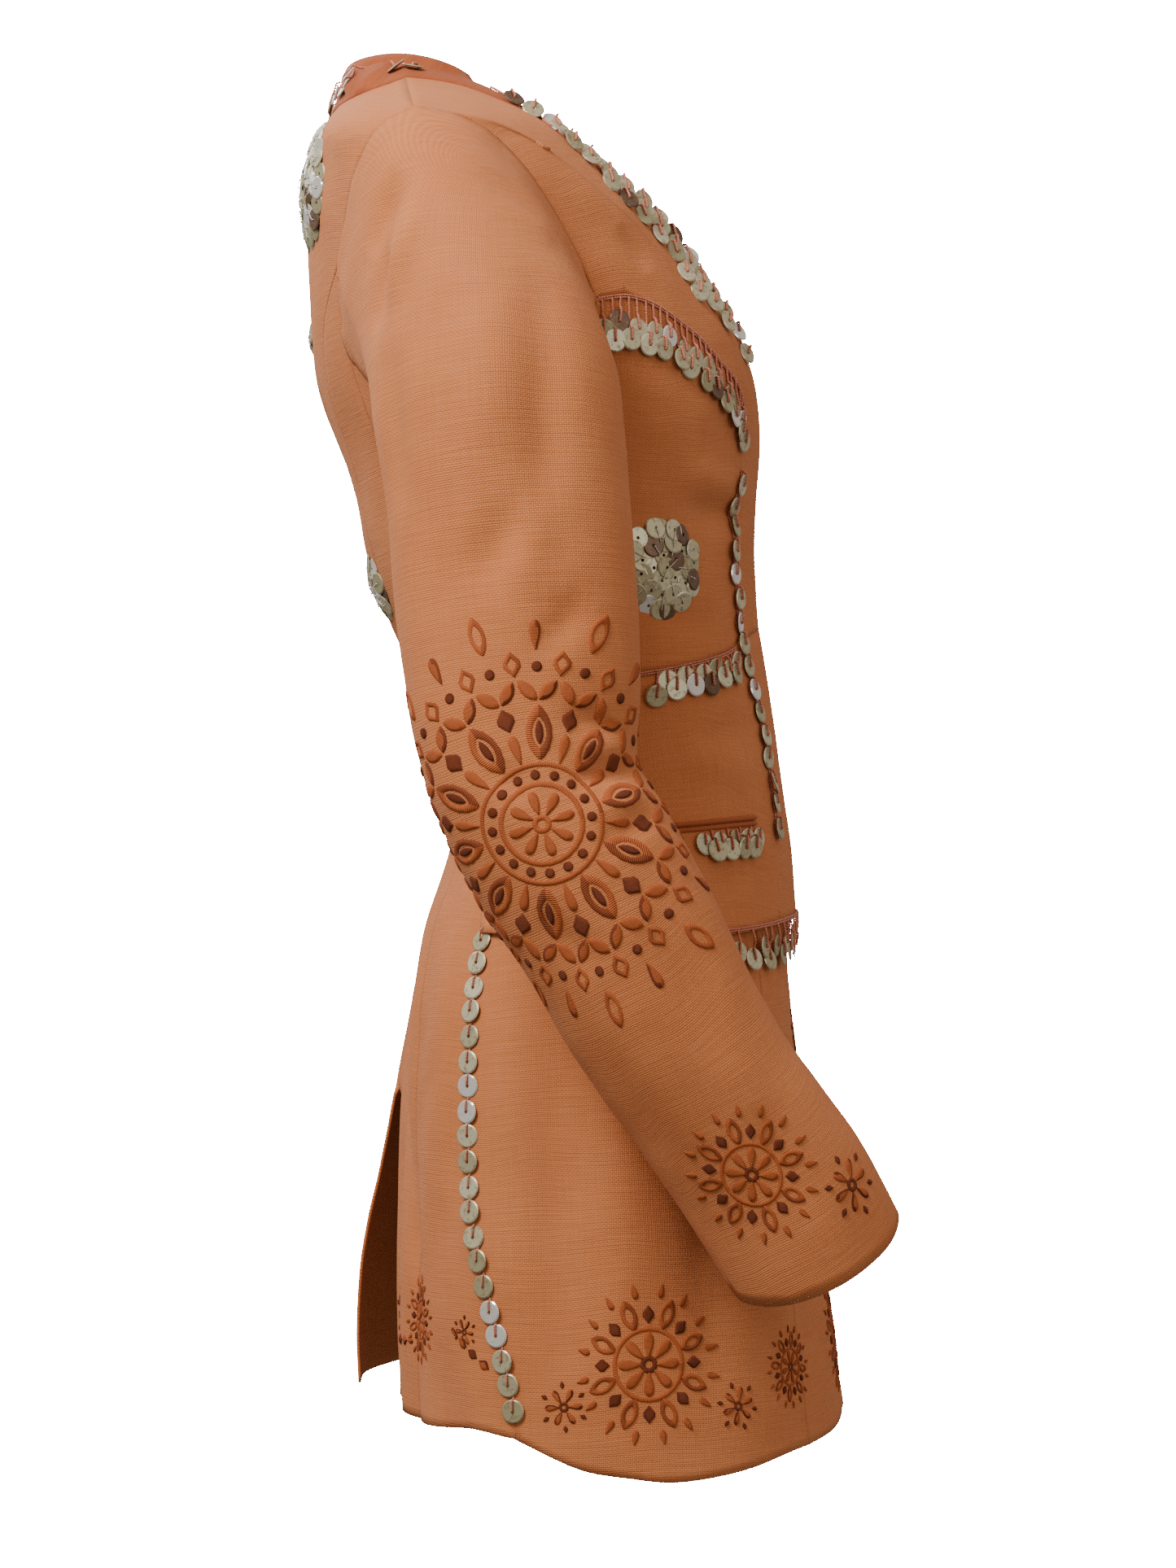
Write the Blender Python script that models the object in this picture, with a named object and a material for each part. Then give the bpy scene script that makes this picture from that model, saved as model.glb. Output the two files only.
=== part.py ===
"""A fitted thigh-length blazer in worn shape, built panel by panel.

Metres, +Z up. The front faces -Y and the wearer's right arm is at -X. The origin
lies at the middle of the neck, level with the points where the shoulders meet it.
"""

import math
from collections import namedtuple

import bmesh
import bpy
from mathutils import Vector
from mathutils.bvhtree import BVHTree

# Driving sizes
CLOTH = 0.0020
SEAM_GAP = 0.0003
TRIM_LIFT = 0.0009
TIER_CLEARANCE = 0.0011
TIER_FLARE = 0.0022
FLARE_FADE = 25.0
DISC_DIAMETER = 0.0120
DISC_THICKNESS = 0.0013
CORD_WIDTH = 0.0018
BRAID_WIDTH = 0.0032
RIGHT = -1
LEFT = 1

# The worn body of the jacket: one row for each level, from the neck to the hem
Level = namedtuple("Level", "z half_width front_y back_y side_y front_power back_power")
LEVELS = [
    Level(0.012, 0.050, -0.0350, 0.0360, 0.0040, 2.0, 2.0),
    Level(0.000, 0.0755, -0.0480, 0.0415, 0.0030, 2.0, 2.0),
    Level(-0.010, 0.101, -0.0600, 0.0445, 0.0010, 2.0, 2.1),
    Level(-0.022, 0.133, -0.0740, 0.0485, -0.0020, 2.0, 2.1),
    Level(-0.034, 0.164, -0.0870, 0.0515, -0.0050, 2.0, 2.2),
    Level(-0.044, 0.190, -0.0970, 0.0535, -0.0080, 2.1, 2.2),
    Level(-0.060, 0.193, -0.1180, 0.0560, -0.0120, 2.1, 2.2),
    Level(-0.078, 0.190, -0.1355, 0.0580, -0.0160, 2.2, 2.3),
    Level(-0.097, 0.185, -0.1510, 0.0588, -0.0210, 2.2, 2.3),
    Level(-0.122, 0.177, -0.1680, 0.0575, -0.0270, 2.3, 2.4),
    Level(-0.149, 0.169, -0.1815, 0.0560, -0.0330, 2.4, 2.4),
    Level(-0.171, 0.164, -0.1870, 0.0515, -0.0390, 2.4, 2.4),
    Level(-0.200, 0.158, -0.1880, 0.0400, -0.0480, 2.3, 2.4),
    Level(-0.235, 0.150, -0.1870, 0.0305, -0.0600, 2.2, 2.4),
    Level(-0.270, 0.143, -0.1865, 0.0230, -0.0720, 2.2, 2.4),
    Level(-0.300, 0.137, -0.1890, 0.0110, -0.0830, 2.2, 2.4),
    Level(-0.335, 0.132, -0.1930, -0.0070, -0.0930, 2.4, 2.4),
    Level(-0.377, 0.130, -0.1965, -0.0240, -0.1000, 2.5, 2.4),
    Level(-0.412, 0.139, -0.1990, -0.0200, -0.0990, 2.5, 2.4),
    Level(-0.449, 0.155, -0.2025, -0.0060, -0.0960, 2.4, 2.5),
    Level(-0.485, 0.168, -0.2050, 0.0015, -0.0930, 2.4, 2.5),
    Level(-0.530, 0.178, -0.2095, 0.0060, -0.0920, 2.4, 2.5),
    Level(-0.620, 0.187, -0.2205, 0.0090, -0.0950, 2.4, 2.5),
    Level(-0.710, 0.193, -0.2330, 0.0072, -0.1000, 2.4, 2.5),
    Level(-0.740, 0.194, -0.2360, 0.0068, -0.1010, 2.4, 2.5),
]

# Seams as degrees round the body from the centre front, at heights
Seam = namedtuple("Seam", "turn z")
CENTRE_FRONT = 0.0
SIDE = 90.0
CENTRE_BACK = 180.0
WAIST_FRONT_Z = -0.2920
VENT_TOP_Z = -0.4900
SHOULDER_Z = -0.0440
NECK_Z = 0.0

NeckEdge = namedtuple("NeckEdge", "x z")
LAPEL_EDGE = [
    NeckEdge(0.000, -0.1416),
    NeckEdge(-0.008, -0.1370),
    NeckEdge(-0.025, -0.1150),
    NeckEdge(-0.037, -0.0940),
    NeckEdge(-0.045, -0.0780),
    NeckEdge(-0.052, -0.0610),
    NeckEdge(-0.060, -0.0420),
    NeckEdge(-0.067, -0.0230),
    NeckEdge(-0.072, -0.0090),
    NeckEdge(-0.0755, 0.0000),
]

SideMark = namedtuple("SideMark", "y z")
BUST_SEAM = [
    SideMark(-0.0975, -0.1345),
    SideMark(-0.1145, -0.1310),
    SideMark(-0.1318, -0.1354),
    SideMark(-0.1421, -0.1415),
    SideMark(-0.1554, -0.1506),
    SideMark(-0.1634, -0.1587),
]
FrontMark = namedtuple("FrontMark", "x z")
BUST_SEAM_END = [
    FrontMark(-0.0860, -0.1712),
    FrontMark(-0.0785, -0.1850),
    FrontMark(-0.0765, -0.2000),
]
FRONT_LINE = [
    FrontMark(-0.0765, -0.2000),
    FrontMark(-0.0790, -0.2200),
    FrontMark(-0.0810, -0.2450),
    FrontMark(-0.0800, -0.2700),
    FrontMark(-0.0770, -0.2880),
    FrontMark(-0.0745, -0.3030),
]
TIER_LINE = [
    FrontMark(-0.0745, -0.3030),
    FrontMark(-0.0720, -0.3210),
    FrontMark(-0.0715, -0.3500),
    FrontMark(-0.0740, -0.3850),
    FrontMark(-0.0770, -0.4130),
]
SIDE_SEAM = [
    SideMark(0.0300, -0.1560),
    SideMark(0.0150, -0.2040),
    SideMark(0.0000, -0.2400),
    SideMark(-0.0160, -0.2760),
    SideMark(-0.0330, -0.3200),
    SideMark(-0.0440, -0.3700),
    SideMark(-0.0430, -0.4150),
    SideMark(-0.0400, -0.4500),
    SideMark(-0.0345, -0.4850),
    SideMark(-0.0320, -0.5250),
    SideMark(-0.0330, -0.5820),
    SideMark(-0.0386, -0.6200),
    SideMark(-0.0467, -0.6500),
    SideMark(-0.0590, -0.7100),
]
BACK_SEAM = [
    Seam(132.0, -0.1150),
    Seam(143.0, -0.1360),
    Seam(149.0, -0.1580),
    Seam(152.0, -0.1900),
    Seam(156.0, -0.2450),
    Seam(157.0, -0.3770),
    Seam(153.0, -0.4500),
    Seam(150.0, -0.5300),
    Seam(149.0, -0.7200),
]
SIDE_FRONT_SEAM_TURN = 40.0
WAIST_SEAM = [
    Seam(0.0, WAIST_FRONT_Z),
    Seam(20.0, -0.2985),
    Seam(40.0, -0.3090),
    Seam(60.0, -0.3180),
    Seam(90.0, -0.3250),
    Seam(140.0, -0.3280),
]
LEDGE = [
    Seam(0.0, -0.4490),
    Seam(30.0, -0.4530),
    Seam(60.0, -0.4570),
    Seam(90.0, -0.4570),
    Seam(140.0, -0.4540),
]
HEM = [
    Seam(0.0, -0.7170),
    Seam(20.0, -0.7165),
    Seam(45.0, -0.7180),
    Seam(62.0, -0.7225),
    Seam(78.0, -0.7250),
    Seam(92.0, -0.7190),
    Seam(106.0, -0.7060),
    Seam(118.0, -0.7020),
    Seam(140.0, -0.7070),
    Seam(180.0, -0.7104),
]

# The armhole seam as it is seen from the side
ARMHOLE_FRONT = [
    SideMark(-0.0080, -0.0440),
    SideMark(-0.0306, -0.0480),
    SideMark(-0.0480, -0.0580),
    SideMark(-0.0640, -0.0740),
    SideMark(-0.0790, -0.0950),
    SideMark(-0.0910, -0.1170),
    SideMark(-0.0975, -0.1345),
]
ARMHOLE_LOW = [
    SideMark(-0.0975, -0.1345),
    SideMark(-0.0955, -0.1560),
    SideMark(-0.0850, -0.1760),
    SideMark(-0.0640, -0.1920),
    SideMark(-0.0380, -0.1985),
    SideMark(-0.0130, -0.1930),
    SideMark(0.0120, -0.1800),
    SideMark(0.0300, -0.1560),
]
ARMHOLE_BACK = SideMark(0.0325, -0.1340)
ARMHOLE_BACK_TOP = [
    SideMark(0.0310, -0.1100),
    SideMark(0.0270, -0.0900),
    SideMark(0.0200, -0.0720),
    SideMark(0.0110, -0.0580),
    SideMark(0.0020, -0.0490),
    SideMark(-0.0080, -0.0440),
]

# Sleeve rings from the underarm to the cuff: front and back edges as seen from the side
Ring = namedtuple("Ring", "x half_width front_y front_z back_y back_z outer_drop")
SLEEVE_RINGS = [
    Ring(-0.214, 0.0515, -0.1100, -0.2000, 0.0098, -0.2080, -0.0120),
    Ring(-0.219, 0.0500, -0.1140, -0.2400, 0.0047, -0.2420, -0.0050),
    Ring(-0.225, 0.0480, -0.1185, -0.2960, -0.0014, -0.2980, 0.0000),
    Ring(-0.230, 0.0465, -0.1200, -0.3350, -0.0065, -0.3350, 0.0000),
    Ring(-0.233, 0.0450, -0.1175, -0.3660, -0.0150, -0.3730, 0.0000),
    Ring(-0.235, 0.0445, -0.1260, -0.3820, -0.0280, -0.4080, 0.0000),
    Ring(-0.234, 0.0440, -0.1422, -0.4104, -0.0450, -0.4430, 0.0000),
    Ring(-0.231, 0.0440, -0.1586, -0.4420, -0.0630, -0.4690, 0.0000),
    Ring(-0.225, 0.0435, -0.1810, -0.4860, -0.0830, -0.5020, 0.0010),
    Ring(-0.216, 0.0430, -0.2055, -0.5230, -0.1080, -0.5400, 0.0035),
    Ring(-0.206, 0.0430, -0.2300, -0.5560, -0.1345, -0.5790, 0.0080),
    Ring(-0.197, 0.0420, -0.2478, -0.5916, -0.1634, -0.6252, 0.0160),
]
CAP_STEPS = 4
ARMHOLE_HALF_HEIGHT = 0.079
ARMHOLE_HALF_WIDTH = 0.065
CAP_LEAVE_DROP = -0.1
CAP_ARRIVE_SHARE = 0.9

# The collar band: its free inner edge, and where its outer edge lies on the body
CollarRow = namedtuple("CollarRow", "x y z outer_turn outer_z")
COLLAR = [
    CollarRow(0.000, 0.0400, 0.0105, 180.0, -0.0180),
    CollarRow(-0.026, 0.0375, 0.0115, 158.0, -0.0175),
    CollarRow(-0.050, 0.0270, 0.0115, 133.0, -0.0160),
    CollarRow(-0.066, 0.0090, 0.0105, 108.0, -0.0130),
    CollarRow(-0.072, -0.0100, 0.0070, 88.0, -0.0110),
    CollarRow(-0.0735, -0.0300, -0.0010, 68.0, -0.0135),
    CollarRow(-0.0710, -0.0470, -0.0095, 50.0, -0.0240),
]
LapelRow = namedtuple("LapelRow", "x z outer_x outer_z")
LAPEL = [
    LapelRow(-0.0655, -0.0250, -0.0960, -0.0430),
    LapelRow(-0.0595, -0.0430, -0.0870, -0.0620),
    LapelRow(-0.0515, -0.0620, -0.0770, -0.0810),
    LapelRow(-0.0440, -0.0790, -0.0670, -0.0980),
    LapelRow(-0.0355, -0.0960, -0.0560, -0.1150),
    LapelRow(-0.0240, -0.1160, -0.0420, -0.1330),
    LapelRow(-0.0120, -0.1330, -0.0270, -0.1480),
    LapelRow(-0.0004, -0.1470, -0.0110, -0.1600),
]
COLLAR_WALL = 0.0022

# Rosettes of overlapping discs: where each is centred and its radius
Rosette = namedtuple("Rosette", "name turn z radius sides")
ROSETTES = [
    Rosette("rosette_bodice", 60.0, -0.2680, 0.0275, (RIGHT, LEFT)),
    Rosette("rosette_shoulder", 152.0, -0.0640, 0.0370, (RIGHT, LEFT)),
    Rosette("rosette_mid_back", 180.0, -0.1330, 0.0125, (RIGHT,)),
    Rosette("rosette_back_waist", 163.0, -0.2740, 0.0200, (RIGHT, LEFT)),
]

COLOURS = {
    "cloth": (0.62, 0.29, 0.15, 1.0),
    "collar": (0.50, 0.20, 0.10, 1.0),
    "trim": (0.55, 0.52, 0.38, 1.0),
}
ROUGHNESS = {"cloth": 0.85, "collar": 0.85, "trim": 0.35}
METALLIC = {"cloth": 0.0, "collar": 0.0, "trim": 0.8}


def smooth_table(table, key, value, at):
    """Reads a column between its rows with a smooth curve that doesn't overshoot."""
    keys = [getattr(row, key) for row in table]
    values = [getattr(row, value) for row in table]
    if keys[0] > keys[-1]:
        keys.reverse()
        values.reverse()
    at = min(max(at, keys[0]), keys[-1])
    i = 0
    while i < len(keys) - 2 and at > keys[i + 1]:
        i += 1
    step = keys[i + 1] - keys[i]
    slopes = [(values[j + 1] - values[j]) / (keys[j + 1] - keys[j]) for j in range(len(keys) - 1)]

    def tangent(j):
        if j == 0 or j == len(keys) - 1:
            return slopes[min(j, len(slopes) - 1)]
        before = slopes[j - 1]
        after = slopes[j]
        if before * after <= 0:
            return 0.0
        return 2 * before * after / (before + after)

    t = (at - keys[i]) / step
    start = tangent(i) * step
    end = tangent(i + 1) * step
    rise = values[i + 1] - values[i]
    return values[i] + t * start + t * t * (3 * rise - 2 * start - end) + t ** 3 * (start + end - 2 * rise)


def smooth_step(value):
    """Goes softly from 0 to 1."""
    value = min(max(value, 0.0), 1.0)
    return value * value * (3 - 2 * value)


def level(name, z):
    return smooth_table(LEVELS, "z", name, z)


# The vent's left tail swings back, and soft folds run down the back of the skirt
TAIL_SWING = {RIGHT: 0.002, LEFT: 0.026}
TAIL_LENGTH = 0.20
TAIL_START_TURN = 150.0
FOLD_DEPTH = 0.0022
FOLD_TURNS = 19.0
FOLD_TOP_Z = -0.42
FOLD_FADE_LENGTH = 0.10
FOLD_START_TURN = 100.0
FOLD_START_FADE = 20.0
FOLD_END_TURN = 178.0
FOLD_END_FADE = 10.0


def body_point(turn, z, side=RIGHT):
    """A point on the outer face of the cloth body."""
    angle = math.radians(turn)
    front = turn <= SIDE
    power = level("front_power" if front else "back_power", z)
    middle_y = level("side_y", z)
    end_y = level("front_y" if front else "back_y", z)
    across = abs(math.sin(angle)) ** (2 / power)
    along = abs(math.cos(angle)) ** (2 / power)
    y = middle_y + (end_y - middle_y) * along
    fall = smooth_step((VENT_TOP_Z - z) / TAIL_LENGTH)
    y += TAIL_SWING[side] * fall * smooth_step((turn - TAIL_START_TURN) / (CENTRE_BACK - TAIL_START_TURN))
    folds = smooth_step((FOLD_TOP_Z - z) / FOLD_FADE_LENGTH)
    folds *= smooth_step((turn - FOLD_START_TURN) / FOLD_START_FADE)
    folds *= smooth_step((FOLD_END_TURN - turn) / FOLD_END_FADE)
    y += FOLD_DEPTH * folds * math.sin(math.radians(turn * 360 / FOLD_TURNS))
    return Vector((side * level("half_width", z) * across, y, z))


def body_normal(turn, z, side=RIGHT):
    """The outward direction of the cloth body."""
    turn_step = 0.5
    z_step = 0.0015
    low_turn = max(turn - turn_step, 0.01)
    high_turn = min(turn + turn_step, 179.99)
    round_way = body_point(high_turn, z, side) - body_point(low_turn, z, side)
    up_way = body_point(turn, z + z_step, side) - body_point(turn, z - z_step, side)
    normal = round_way.cross(up_way).normalized() * side
    if turn < 0.5 or turn > 179.5:
        normal.x = 0
        normal.normalize()
    return normal


def on_body(turn, z, side, lift=0.0):
    return body_point(turn, z, side) + body_normal(turn, z, side) * lift


def turn_from_y(y, z, front):
    """The turn round the body at which the cloth has this y at this height."""
    power = level("front_power" if front else "back_power", z)
    middle_y = level("side_y", z)
    end_y = level("front_y" if front else "back_y", z)
    share = min(max((y - middle_y) / (end_y - middle_y), 0.0), 1.0)
    angle = math.degrees(math.acos(share ** (power / 2)))
    return angle if front else CENTRE_BACK - angle


def turn_of_mark(mark):
    return turn_from_y(mark.y, mark.z, mark.y < level("side_y", mark.z))


def turn_from_x(x, z):
    power = level("front_power", z)
    share = min(abs(x) / level("half_width", z), 1.0)
    return math.degrees(math.asin(share ** (power / 2)))


def marks_to_line(marks):
    return [(turn_of_mark(mark), mark.z) for mark in marks]


def front_marks_to_line(marks):
    return [(turn_from_x(mark.x, mark.z), mark.z) for mark in marks]


def bust_line():
    return marks_to_line(BUST_SEAM) + front_marks_to_line(BUST_SEAM_END)


def resample(line, count):
    """Equal steps along a line of (turn, z), measured on the body."""
    places = [body_point(turn, z) for turn, z in line]
    lengths = [0.0]
    for first, second in zip(places, places[1:]):
        lengths.append(lengths[-1] + (second - first).length)
    result = []
    for k in range(count + 1):
        target = lengths[-1] * k / count
        i = 0
        while i < len(lengths) - 2 and target > lengths[i + 1]:
            i += 1
        t = (target - lengths[i]) / (lengths[i + 1] - lengths[i])
        result.append(tuple(a + (b - a) * t for a, b in zip(line[i], line[i + 1])))
    return result


def smooth_line(line, count):
    """A Catmull-Rom curve through the line's points, in equal steps."""
    fine = []
    per_span = 8
    for i in range(len(line) - 1):
        before = line[max(i - 1, 0)]
        start = line[i]
        end = line[i + 1]
        after = line[min(i + 2, len(line) - 1)]
        for k in range(per_span):
            t = k / per_span
            fine.append(tuple(
                0.5 * (2 * b + (c - a) * t + (2 * a - 5 * b + 4 * c - d) * t * t
                       + (3 * b - a - 3 * c + d) * t ** 3)
                for a, b, c, d in zip(before, start, end, after)))
    fine.append(line[-1])
    return resample(fine, count)


def seam_z(table, turn):
    return smooth_table(table, "turn", "z", turn)


def level_line(table, start_turn, end_turn, count):
    """A seam that runs round the body, between two turns."""
    turns = [start_turn + (end_turn - start_turn) * k / (4 * count) for k in range(4 * count + 1)]
    return resample([(turn, seam_z(table, turn)) for turn in turns], count)


# Seam lines on the body, each sampled once so that neighbours share their points
FRONT_LINE_STEPS = 5
BUST_STEPS = 8
ARMHOLE_STEPS = {"front": 6, "low": 7, "side": 4, "back": 5}
SHOULDER_STEPS = 3
FRONT_COLUMNS = SHOULDER_STEPS + ARMHOLE_STEPS["front"]
BODICE_COLUMNS = BUST_STEPS + ARMHOLE_STEPS["low"]
BACK_NECK_STEPS = 4
BACK_COLUMNS = SHOULDER_STEPS + BACK_NECK_STEPS
TIER_ROWS = 3
SKIRT_ROWS = 7
CENTRE_FRONT_STEPS = 4


def cut_line(line, z):
    """The part of a falling line above a height, and the part below it."""
    upper = []
    lower = []
    for first, second in zip(line, line[1:]):
        if first[1] >= z:
            upper.append(first)
        if first[1] >= z > second[1]:
            t = (first[1] - z) / (first[1] - second[1])
            cut = (first[0] + (second[0] - first[0]) * t, z)
            upper.append(cut)
            lower.append(cut)
        if second[1] < z:
            lower.append(second)
    return upper, lower


def line_meets(line, table):
    """The height where a falling line crosses a seam that runs round the body."""
    for first, second in zip(line, line[1:]):
        over = first[1] - seam_z(table, first[0])
        under = second[1] - seam_z(table, second[0])
        if over >= 0 > under:
            t = over / (over - under)
            return first[1] + (second[1] - first[1]) * t
    return line[-1][1]


def seam_lines():
    """All seam lines of one half, from the named tables."""
    lines = {}
    lines["bust"] = smooth_line(bust_line(), BUST_STEPS)
    front_line = smooth_line(front_marks_to_line(FRONT_LINE), 40)
    front_z = line_meets(front_line, WAIST_SEAM)
    lines["front_line"] = resample(cut_line(front_line, front_z)[0], FRONT_LINE_STEPS)
    lines["front_line"][0] = lines["bust"][-1]
    side = smooth_line(marks_to_line(SIDE_SEAM), 80)
    waist_z = line_meets(side, WAIST_SEAM)
    ledge_z = line_meets(side, LEDGE)
    hem_z = line_meets(side, HEM)
    upper, rest = cut_line(side, waist_z)
    middle, rest = cut_line(rest, ledge_z)
    low = cut_line(rest, hem_z)[0]
    lines["side_top"] = resample(upper, FRONT_LINE_STEPS)
    lines["side_tier"] = resample(middle, TIER_ROWS)
    lines["side_skirt"] = resample(low, SKIRT_ROWS)
    lines["arm_front"] = smooth_line(marks_to_line(ARMHOLE_FRONT), ARMHOLE_STEPS["front"])
    lines["arm_front"][0] = (SIDE, SHOULDER_Z)
    lines["arm_front"][-1] = lines["bust"][0]
    lines["arm_low"] = smooth_line(marks_to_line(ARMHOLE_LOW), ARMHOLE_STEPS["low"])
    lines["arm_low"][0] = lines["bust"][0]
    lines["arm_low"][-1] = lines["side_top"][0]
    back_seam = smooth_line([tuple(row) for row in BACK_SEAM], 80)
    back_hem_z = line_meets(back_seam, HEM)
    back_rows = FRONT_LINE_STEPS + TIER_ROWS + SKIRT_ROWS
    lines["back_seam"] = resample(cut_line(back_seam, back_hem_z)[0], back_rows)
    side_start = lines["side_top"][0]
    back_start = lines["back_seam"][0]
    middle = (turn_from_y(ARMHOLE_BACK.y, ARMHOLE_BACK.z, False), ARMHOLE_BACK.z)
    lines["arm_side"] = smooth_line([side_start, middle, back_start], ARMHOLE_STEPS["side"])
    lines["arm_back"] = smooth_line(marks_to_line(ARMHOLE_BACK_TOP), ARMHOLE_STEPS["back"])
    lines["arm_back"][0] = back_start
    lines["arm_back"][-1] = (SIDE, SHOULDER_Z)
    shoulder_drop = (SHOULDER_Z - NECK_Z) / SHOULDER_STEPS
    lines["shoulder"] = [(SIDE, NECK_Z + shoulder_drop * k) for k in range(SHOULDER_STEPS + 1)]
    lapel = [(turn_from_x(row.x, row.z), row.z) for row in LAPEL_EDGE]
    lapel[-1] = (SIDE, NECK_Z)
    edge_steps = FRONT_LINE_STEPS + BUST_STEPS - CENTRE_FRONT_STEPS
    lines["lapel"] = smooth_line(lapel, edge_steps)
    lines["front_waist"] = level_line(WAIST_SEAM, CENTRE_FRONT, lines["front_line"][-1][0], FRONT_COLUMNS)
    lines["front_waist"][-1] = lines["front_line"][-1]
    lines["side_waist"] = level_line(
        WAIST_SEAM, lines["front_line"][-1][0], lines["side_top"][-1][0], BODICE_COLUMNS)
    lines["side_waist"][0] = lines["front_line"][-1]
    lines["side_waist"][-1] = lines["side_top"][-1]
    return lines


LINES = seam_lines()


def straight(start, end, count):
    return [tuple(a + (b - a) * k / count for a, b in zip(start, end)) for k in range(count + 1)]


def flat_place(point):
    """The distance from the middle and the height of a place, as seen from the front or back."""
    return (abs(body_point(*point).x), point[1])


def turned_place(place, front):
    """The place on the front or back of the body that is seen at this distance and height."""
    across, z = place
    power = level("front_power" if front else "back_power", z)
    share = min(max(across / level("half_width", z), 0.0), 1.0)
    angle = math.degrees(math.asin(share ** (power / 2)))
    return (angle if front else CENTRE_BACK - angle, z)


def flat_patch(bottom, top, left, right, front):
    """A patch that is filled as it is seen from the front or back, for pieces with a shoulder."""
    lines = [[flat_place(point) for point in line] for line in (bottom, top, left, right)]
    grid = patch(*lines)
    turned = [[turned_place(place, front) for place in line] for line in grid]
    turned[0] = list(bottom)
    turned[-1] = list(top)
    for j in range(len(turned)):
        turned[j][0] = left[j]
        turned[j][-1] = right[j]
    return turned


def patch(bottom, top, left, right):
    """A grid of (turn, z) that fills four border lines."""
    columns = len(bottom) - 1
    rows = len(left) - 1
    grid = []
    for j in range(rows + 1):
        v = j / rows
        line = []
        for i in range(columns + 1):
            u = i / columns
            point = []
            for k in range(2):
                blend = (1 - v) * bottom[i][k] + v * top[i][k] + (1 - u) * left[j][k] + u * right[j][k]
                corners = ((1 - u) * (1 - v) * bottom[0][k] + u * (1 - v) * bottom[-1][k]
                           + (1 - u) * v * top[0][k] + u * v * top[-1][k])
                point.append(blend - corners)
            line.append(tuple(point))
        grid.append(line)
    return grid


def material(kind, name):
    found = bpy.data.materials.new(name)
    found.use_nodes = True
    shader = found.node_tree.nodes["Principled BSDF"]
    shader.inputs["Base Color"].default_value = COLOURS[kind]
    shader.inputs["Roughness"].default_value = ROUGHNESS[kind]
    shader.inputs["Metallic"].default_value = METALLIC[kind]
    return found


def three_cornered(faces, points):
    """Splits each four-sided face along its shorter diagonal."""
    result = []
    for face in faces:
        if len(face) == 3:
            result.append(face)
            continue
        a, b, c, d = face
        if (points[a] - points[c]).length <= (points[b] - points[d]).length:
            result.extend([[a, b, c], [a, c, d]])
        else:
            result.extend([[a, b, d], [b, c, d]])
    return result


def wall(name, kind, outer, inner, faces):
    """One closed piece of cloth from its outer and inner points and its faces."""
    mesh = bpy.data.meshes.new(name)
    body = bmesh.new()
    outer_points = [body.verts.new(point) for point in outer]
    inner_points = [body.verts.new(point) for point in inner]
    borders = {}
    for face in three_cornered(faces, outer):
        body.faces.new([outer_points[k] for k in face])
        body.faces.new([inner_points[k] for k in reversed(face)])
        for first, second in zip(face, face[1:] + face[:1]):
            if (second, first) in borders:
                del borders[(second, first)]
            else:
                borders[(first, second)] = True
    count = len(outer)
    all_points = list(outer) + list(inner)
    all_verts = outer_points + inner_points
    rims = [[second, first, first + count, second + count] for first, second in borders]
    for face in three_cornered(rims, all_points):
        body.faces.new([all_verts[k] for k in face])
    bmesh.ops.recalc_face_normals(body, faces=body.faces)
    body.to_mesh(mesh)
    body.free()
    mesh.shade_smooth()
    mesh.set_sharp_from_angle(angle=math.radians(40))
    piece = bpy.data.objects.new(name, mesh)
    bpy.context.scene.collection.objects.link(piece)
    mesh.materials.append(material(kind, name + "_finish"))
    return piece


def grid_faces(rows, columns, closed=False):
    wide = columns if closed else columns + 1
    faces = []
    for j in range(rows):
        for i in range(columns):
            a = j * wide + i
            b = j * wide + (i + 1) % wide
            faces.append([a, b, b + wide, a + wide])
    return faces


def side_name(side):
    return "right" if side == RIGHT else "left"


def draw_in(points, columns, rows, amount, edges):
    """Moves the border points of a grid inwards along the cloth, to leave the seam gap."""
    wide = columns + 1
    inward = {}

    def pull(index, inside, before, after):
        border = (points[after] - points[before]).normalized()
        way = points[inside] - points[index]
        way -= border * way.dot(border)
        inward.setdefault(index, []).append(way.normalized())

    for j in range(rows + 1):
        before = max(j - 1, 0) * wide
        after = min(j + 1, rows) * wide
        level_inside = min(max(j, 1), rows - 1) * wide
        if "left" in edges:
            pull(j * wide, level_inside + 1, before, after)
        if "right" in edges:
            pull(j * wide + columns, level_inside + columns - 1, before + columns, after + columns)
    for i in range(wide):
        before = max(i - 1, 0)
        after = min(i + 1, columns)
        column_inside = min(max(i, 1), columns - 1)
        if "bottom" in edges:
            pull(i, column_inside + wide, before, after)
        if "top" in edges:
            last = rows * wide
            pull(last + i, last - wide + column_inside, last + before, last + after)
    moved = [point.copy() for point in points]
    for index, ways in inward.items():
        opening = 1.0 if len(ways) == 1 else max(1 + ways[0].dot(ways[1]), 0.2)
        moved[index] += sum(ways, Vector()) * (amount / opening)
    return moved


ALL_EDGES = ("left", "right", "bottom", "top")


def panel(name, grid, side, lift=None, edges=ALL_EDGES):
    """One cloth panel: its grid on the body, given its wall."""
    rows = len(grid) - 1
    columns = len(grid[0]) - 1
    outer = []
    inner = []
    for j, line in enumerate(grid):
        for turn, z in line:
            height = lift(turn, z) if lift else 0.0
            point = body_point(turn, z, side)
            normal = body_normal(turn, z, side)
            outer.append(point + normal * height)
            inner.append(point + normal * (height - CLOTH))
    outer = draw_in(outer, columns, rows, SEAM_GAP / 2, edges)
    inner = draw_in(inner, columns, rows, SEAM_GAP / 2, edges)
    return wall(name + "_" + side_name(side), "cloth", outer, inner, grid_faces(rows, columns))


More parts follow.
